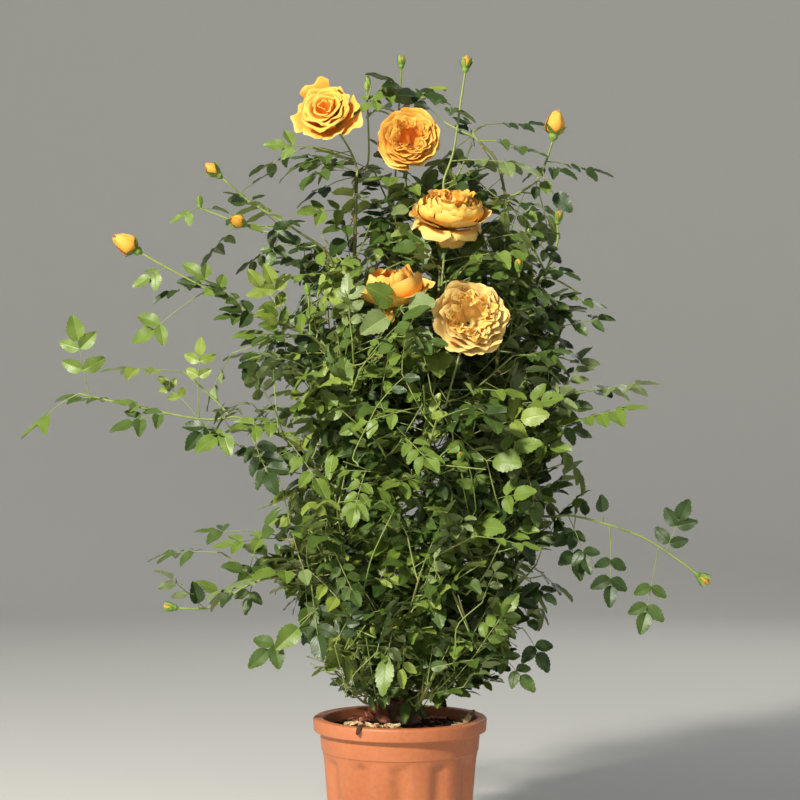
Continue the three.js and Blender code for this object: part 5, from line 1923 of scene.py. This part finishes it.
def bloom_parts(kind, draw):
    """All the petals of one bloom, in units of its radius, facing up."""
    parts = []
    if kind == "tall":
        parts += whorl(1, FRONT_TURN - 0.75, 0.9, HANGING, 0.05, draw, (0.5, 0.95))
        for section, (turn, ends) in zip(TALL, TALL_WHORLS):
            parts += whorl(4, turn, 0.92, section, 0.07, draw, ends, 0.34, point=0.35)
        return parts
    if kind == "saucer":
        parts += whorl(1, FRONT_TURN + 0.1, 1.1, HANGING, 0.02, draw, (0.75, 0.95))
        parts += whorl(5, 0.35, 0.66, REFLEXED, 0.06, draw, (0.75, 1.0), 0.3)
        parts += whorl(7, 0.0, 0.66, SAUCER, 0.05, draw, (0.7, 1.0), 0.2, point=0.06)
        for share, count, raised, low in SAUCER_RINGS:
            section = [(r * share, z + raised) for r, z in DOME]
            parts += whorl(count, 5 * share, 0.46, section, 0.05, draw, (low, 0.85), 0.2, point=0.05)
        return parts + folded_heart(draw, 0.5, 3, 3, 0.03, (0.25, 0.7), 0.14)
    if kind == "wound":
        for turn, spread, reach, raised in LOOSE_PETALS:
            section = [(r * reach, z + raised * r) for r, z in GUARD]
            ends = (0.4 - raised, 0.9 - 1.2 * max(0.0, raised))
            drawn_out = 0.0 if raised > 0.2 else 0.1 + 0.1 * draw()
            parts.append(petal(turn, spread, section, 0.06, draw, ends, point=drawn_out))
        for turn, share, raised, count in ((0.3, 0.74, 0.04, 5), (0.95, 0.6, 0.11, 4)):
            section = [(r * share, z + raised) for r, z in ROLLED]
            parts += whorl(count, turn, 0.85, section, 0.06, draw, (0.35, 0.8), 0.24, point=0.12)
        return parts + wound_heart(draw, 1.0, 0.46, (0.3, 0.8))
    ruffled = kind == "ruffled"
    ruffle, low, high = (0.08, 0.9, 1.0) if ruffled else (0.045, 0.15, 0.75)
    parts += whorl(5, 0.2, 0.7, GUARD, ruffle, draw, (low, 1.0), 0.22)
    parts += whorl(6, 0.75, 0.64, [(r * 0.95, z + 0.1) for r, z in GUARD], ruffle, draw, (low, 1.0), 0.2)
    for cup, (count, turn) in zip(CUPS, ((6, 0.1), (7, 0.5), (7, 0.2), (7, 0.0))):
        section = [(r, z + 0.04) for r, z in cup]
        parts += whorl(count, turn, 0.6, section, ruffle, draw, (low, high), 0.18)
    rings = 3 if ruffled else 5
    return parts + folded_heart(draw, 0.5, 4, rings, ruffle, (low - 0.1, high), 0.08)


petal_finish, tree, surface = shader("rose_petal", linear(250, 190, 90), 0.6, 0.25)
petal_tints = [(0.0, 242, 136, 48), (0.25, 243, 162, 62), (0.5, 242, 180, 74), (0.75, 240, 192, 92)]
tint = value_color(tree, "tone", [*petal_tints, (1.0, 240, 208, 132)])
tone = uneven(tree, 40, 260, 0.4)
veil = ramp(tree, tone, [(0.36, (0.96, 0.9, 0.84, 1)), (0.6, (1, 1, 1, 1))])
tree.links.new(mixed(tree, 1.0, tint, veil, "MULTIPLY"), surface.inputs["Base Color"])
surface.inputs["Subsurface Weight"].default_value = 0.5
surface.inputs["Subsurface Radius"].default_value = (1.0, 0.7, 0.35)
surface.inputs["Subsurface Scale"].default_value = 0.006
relief(tree, surface, uneven(tree, 120, 500, 0.4), 0.2, 0.0006)

sepal_tints = [(0.36, 88, 118, 46), (0.5, 116, 148, 58), (0.68, 146, 162, 78)]
sepal_green = speckled("sepal_green", (104, 136, 62), 0.55, 0.35, (60, 500, 0.35), sepal_tints)
HIP_TURNS = 14
SEPALS = 5
SEPAL_STEPS = 8


def turned_to(centre, facing, scale):
    """The matrix that stands a flower, made facing up at the origin, at its place."""
    turn = Vector((0, 0, 1)).rotation_difference(Vector(facing))
    return Matrix.Translation(Vector(centre)) @ turn.to_matrix().to_4x4() @ Matrix.Scale(scale, 4)


def seated(points, matrix):
    stand = np.array(matrix)
    return np.array(points) @ stand[:3, :3].T + stand[:3, 3]


def calyx(hip_rows, reach, wide, lies_back):
    """The green hip under a flower, and its five sepals, which lie back as the flower opens."""
    rows = len(hip_rows)
    points = [point for r, z in hip_rows for point in ring(r, z, HIP_TURNS)]
    faces = lathe_faces(rows, HIP_TURNS) + end_caps(rows, HIP_TURNS)
    parts = [(points, faces, [0.0] * len(points))]
    step = reach / SEPAL_STEPS
    grid = []
    for i in range(SEPAL_STEPS):
        grid += [(3 * i + j, 3 * i + j + 1, 3 * i + j + 4, 3 * i + j + 3) for j in range(2)]
    for k in range(SEPALS):
        angle = 2 * math.pi * k / SEPALS + 0.4
        cos, sin = math.cos(angle), math.sin(angle)
        sepal = []
        r, z = hip_rows[-1]
        for i in range(SEPAL_STEPS + 1):
            t = i / SEPAL_STEPS
            bend = 1.2 + 0.75 * t - lies_back * (1.0 + 2.2 * t)
            across = wide * math.sin(math.pi * (0.32 + 0.68 * t)) + 0.01
            for side in (-1, 0, 1):
                x, y = r - 0.25 * across * abs(side), side * across
                sepal.append((x * cos - y * sin, x * sin + y * cos, z))
            r += step * math.cos(bend)
            z += step * math.sin(bend)
        parts.append((sepal, grid, [0.0] * len(sepal)))
    return parts


BLOOM_KINDS = {
    "rose_top_left": ("wound", 31),
    "rose_top_middle": ("quartered", 32),
    "rose_upper": ("saucer", 33),
    "rose_middle": ("tall", 34),
    "rose_front": ("ruffled", 35),
    "rose_back_right": ("wound", 37),
    "rose_back_left": ("ruffled", 38),
}
ROSE_HIP = [(0.05, -0.8), (0.08, -0.74), (0.14, -0.66), (0.155, -0.56), (0.12, -0.46), (0.14, -0.41)]
ROSE_SEPALS = {"reach": 0.55, "wide": 0.085, "lies_back": 0.85}
calyx_parts = []
for name, (kind, seed) in BLOOM_KINDS.items():
    one = roses[name]
    matrix = turned_to(one["centre"], one["facing"], ROSE_RADIUS * one["size"])
    points, faces, tones = joined(bloom_parts(kind, seeded(seed)))
    bloom = mesh_piece(name + "_bloom", seated(points, matrix), faces, petal_finish)
    with_values(bloom, "tone", tones)
    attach(bloom, "root")
    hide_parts(name)
    points, faces, tones = joined(calyx(ROSE_HIP, **ROSE_SEPALS))
    calyx_parts.append((seated(points, matrix), faces, tones))


# Buds.
# From hard green knobs with closed sepals to long apricot buds that begin to unwind. Each is a hip, five
# sepals and wrapped petals that end in a point.
BUD_WRAPS = 9
BUD_HIP = [(0.13, -1.12), (0.2, -0.98), (0.42, -0.78), (0.46, -0.6), (0.40, -0.48), (0.5, -0.40)]
CLOSED_SIZE = 0.65
OPENING_SIZES = 0.6
BUD_STALK_RADIUS = 0.0011
BUD_STALK_TIP_RADIUS = 0.0009


def bud_petals(openness, draw):
    """Petals wound into a pointed bud. As it opens, the outer ones stand lower and their edges roll out."""
    parts = []
    wide = 0.5 + 0.52 * openness
    for k in range(BUD_WRAPS):
        inner = k / (BUD_WRAPS - 1)
        radius = wide * (1 - 0.45 * inner)
        top = (0.75 + 1.1 * openness) * (1 - 0.28 * openness * (1 - inner)) + 0.06 * (k % 3)
        edge = radius * (0.18 + (0.46 - 0.2 * inner) * openness)
        section = [
            (0.12, -0.45),
            (radius * 0.85, -0.15),
            (radius, 0.3),
            (radius * 0.88, 0.62 * top),
            (edge, top),
        ]
        ends = (0.36, 0.12 + 0.5 * openness * (1 - 0.5 * inner))
        ruffle = 0.01 + 0.06 * openness
        parts.append(petal(2.4 * k, 1.0, section, ruffle, draw, ends, point=0.06 + 0.1 * openness * draw()))
    return parts


# Small late buds on short stalks, where the shoots branch: place and facing in mm, and size.
SMALL_BUDS = [
    ((-124, -70, 800), (-0.1, -0.1, 1.0), 0.66),
    ((78, -160, 576), (0.0, -0.5, 0.9), 0.7),
    ((-35, -150, 352), (-0.2, -0.6, 0.7), 0.6),
    ((157, -98, 829), (-0.1, -0.4, 1.0), 0.78),
    ((-44, 10, 1098), (-0.3, -0.1, 0.9), 0.5),
]
bud_lines = []
for at, facing, size in SMALL_BUDS:
    centre = np.array(at) * MM
    facing = unit(np.array(facing))
    foot = centre - facing * 1.2 * BUD_RADIUS * size
    root = nearest_wood(foot - np.array((0, 0, 0.03)))
    bend = foot - facing * 0.006
    stalk = limb(root, unit(UP + facing), [bend, foot], 2, BUD_STALK_RADIUS, BUD_STALK_TIP_RADIUS)
    bud_lines.append((stalk["points"], BUD_STALK_RADIUS, BUD_STALK_TIP_RADIUS))
    buds.append({"centre": centre, "facing": facing, "size": size})
small_stalks = stems("bud_stalks", bud_lines, 7, green_stem)
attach(small_stalks, "root")

bud_parts = []
for index, one in enumerate(buds):
    openness = min(1.0, max(0.0, (one["size"] - CLOSED_SIZE) / OPENING_SIZES))
    draw = seeded(60 + index)
    matrix = turned_to(one["centre"], one["facing"], 1.15 * BUD_RADIUS * one["size"])
    points, faces, tones = joined(bud_petals(openness, draw))
    bud_parts.append((seated(points, matrix), faces, tones))
    wide, lies_back = 0.36 - 0.12 * openness, 0.62 * openness - 0.1
    points, faces, tones = joined(calyx(BUD_HIP, 1.75 - 0.3 * openness, wide, lies_back))
    calyx_parts.append((seated(points, matrix), faces, tones))
points, faces, tones = joined(bud_parts)
bud_petal_piece = with_values(mesh_piece("bud_petals", points, faces, petal_finish), "tone", tones)
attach(bud_petal_piece, "root")
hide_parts("bud_top", "bud_right_top", "bud_right_high")
points, faces, _ = joined(calyx_parts)
sepals = mesh_piece("hips_and_sepals", points, faces, sepal_green)
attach(sepals, "root")
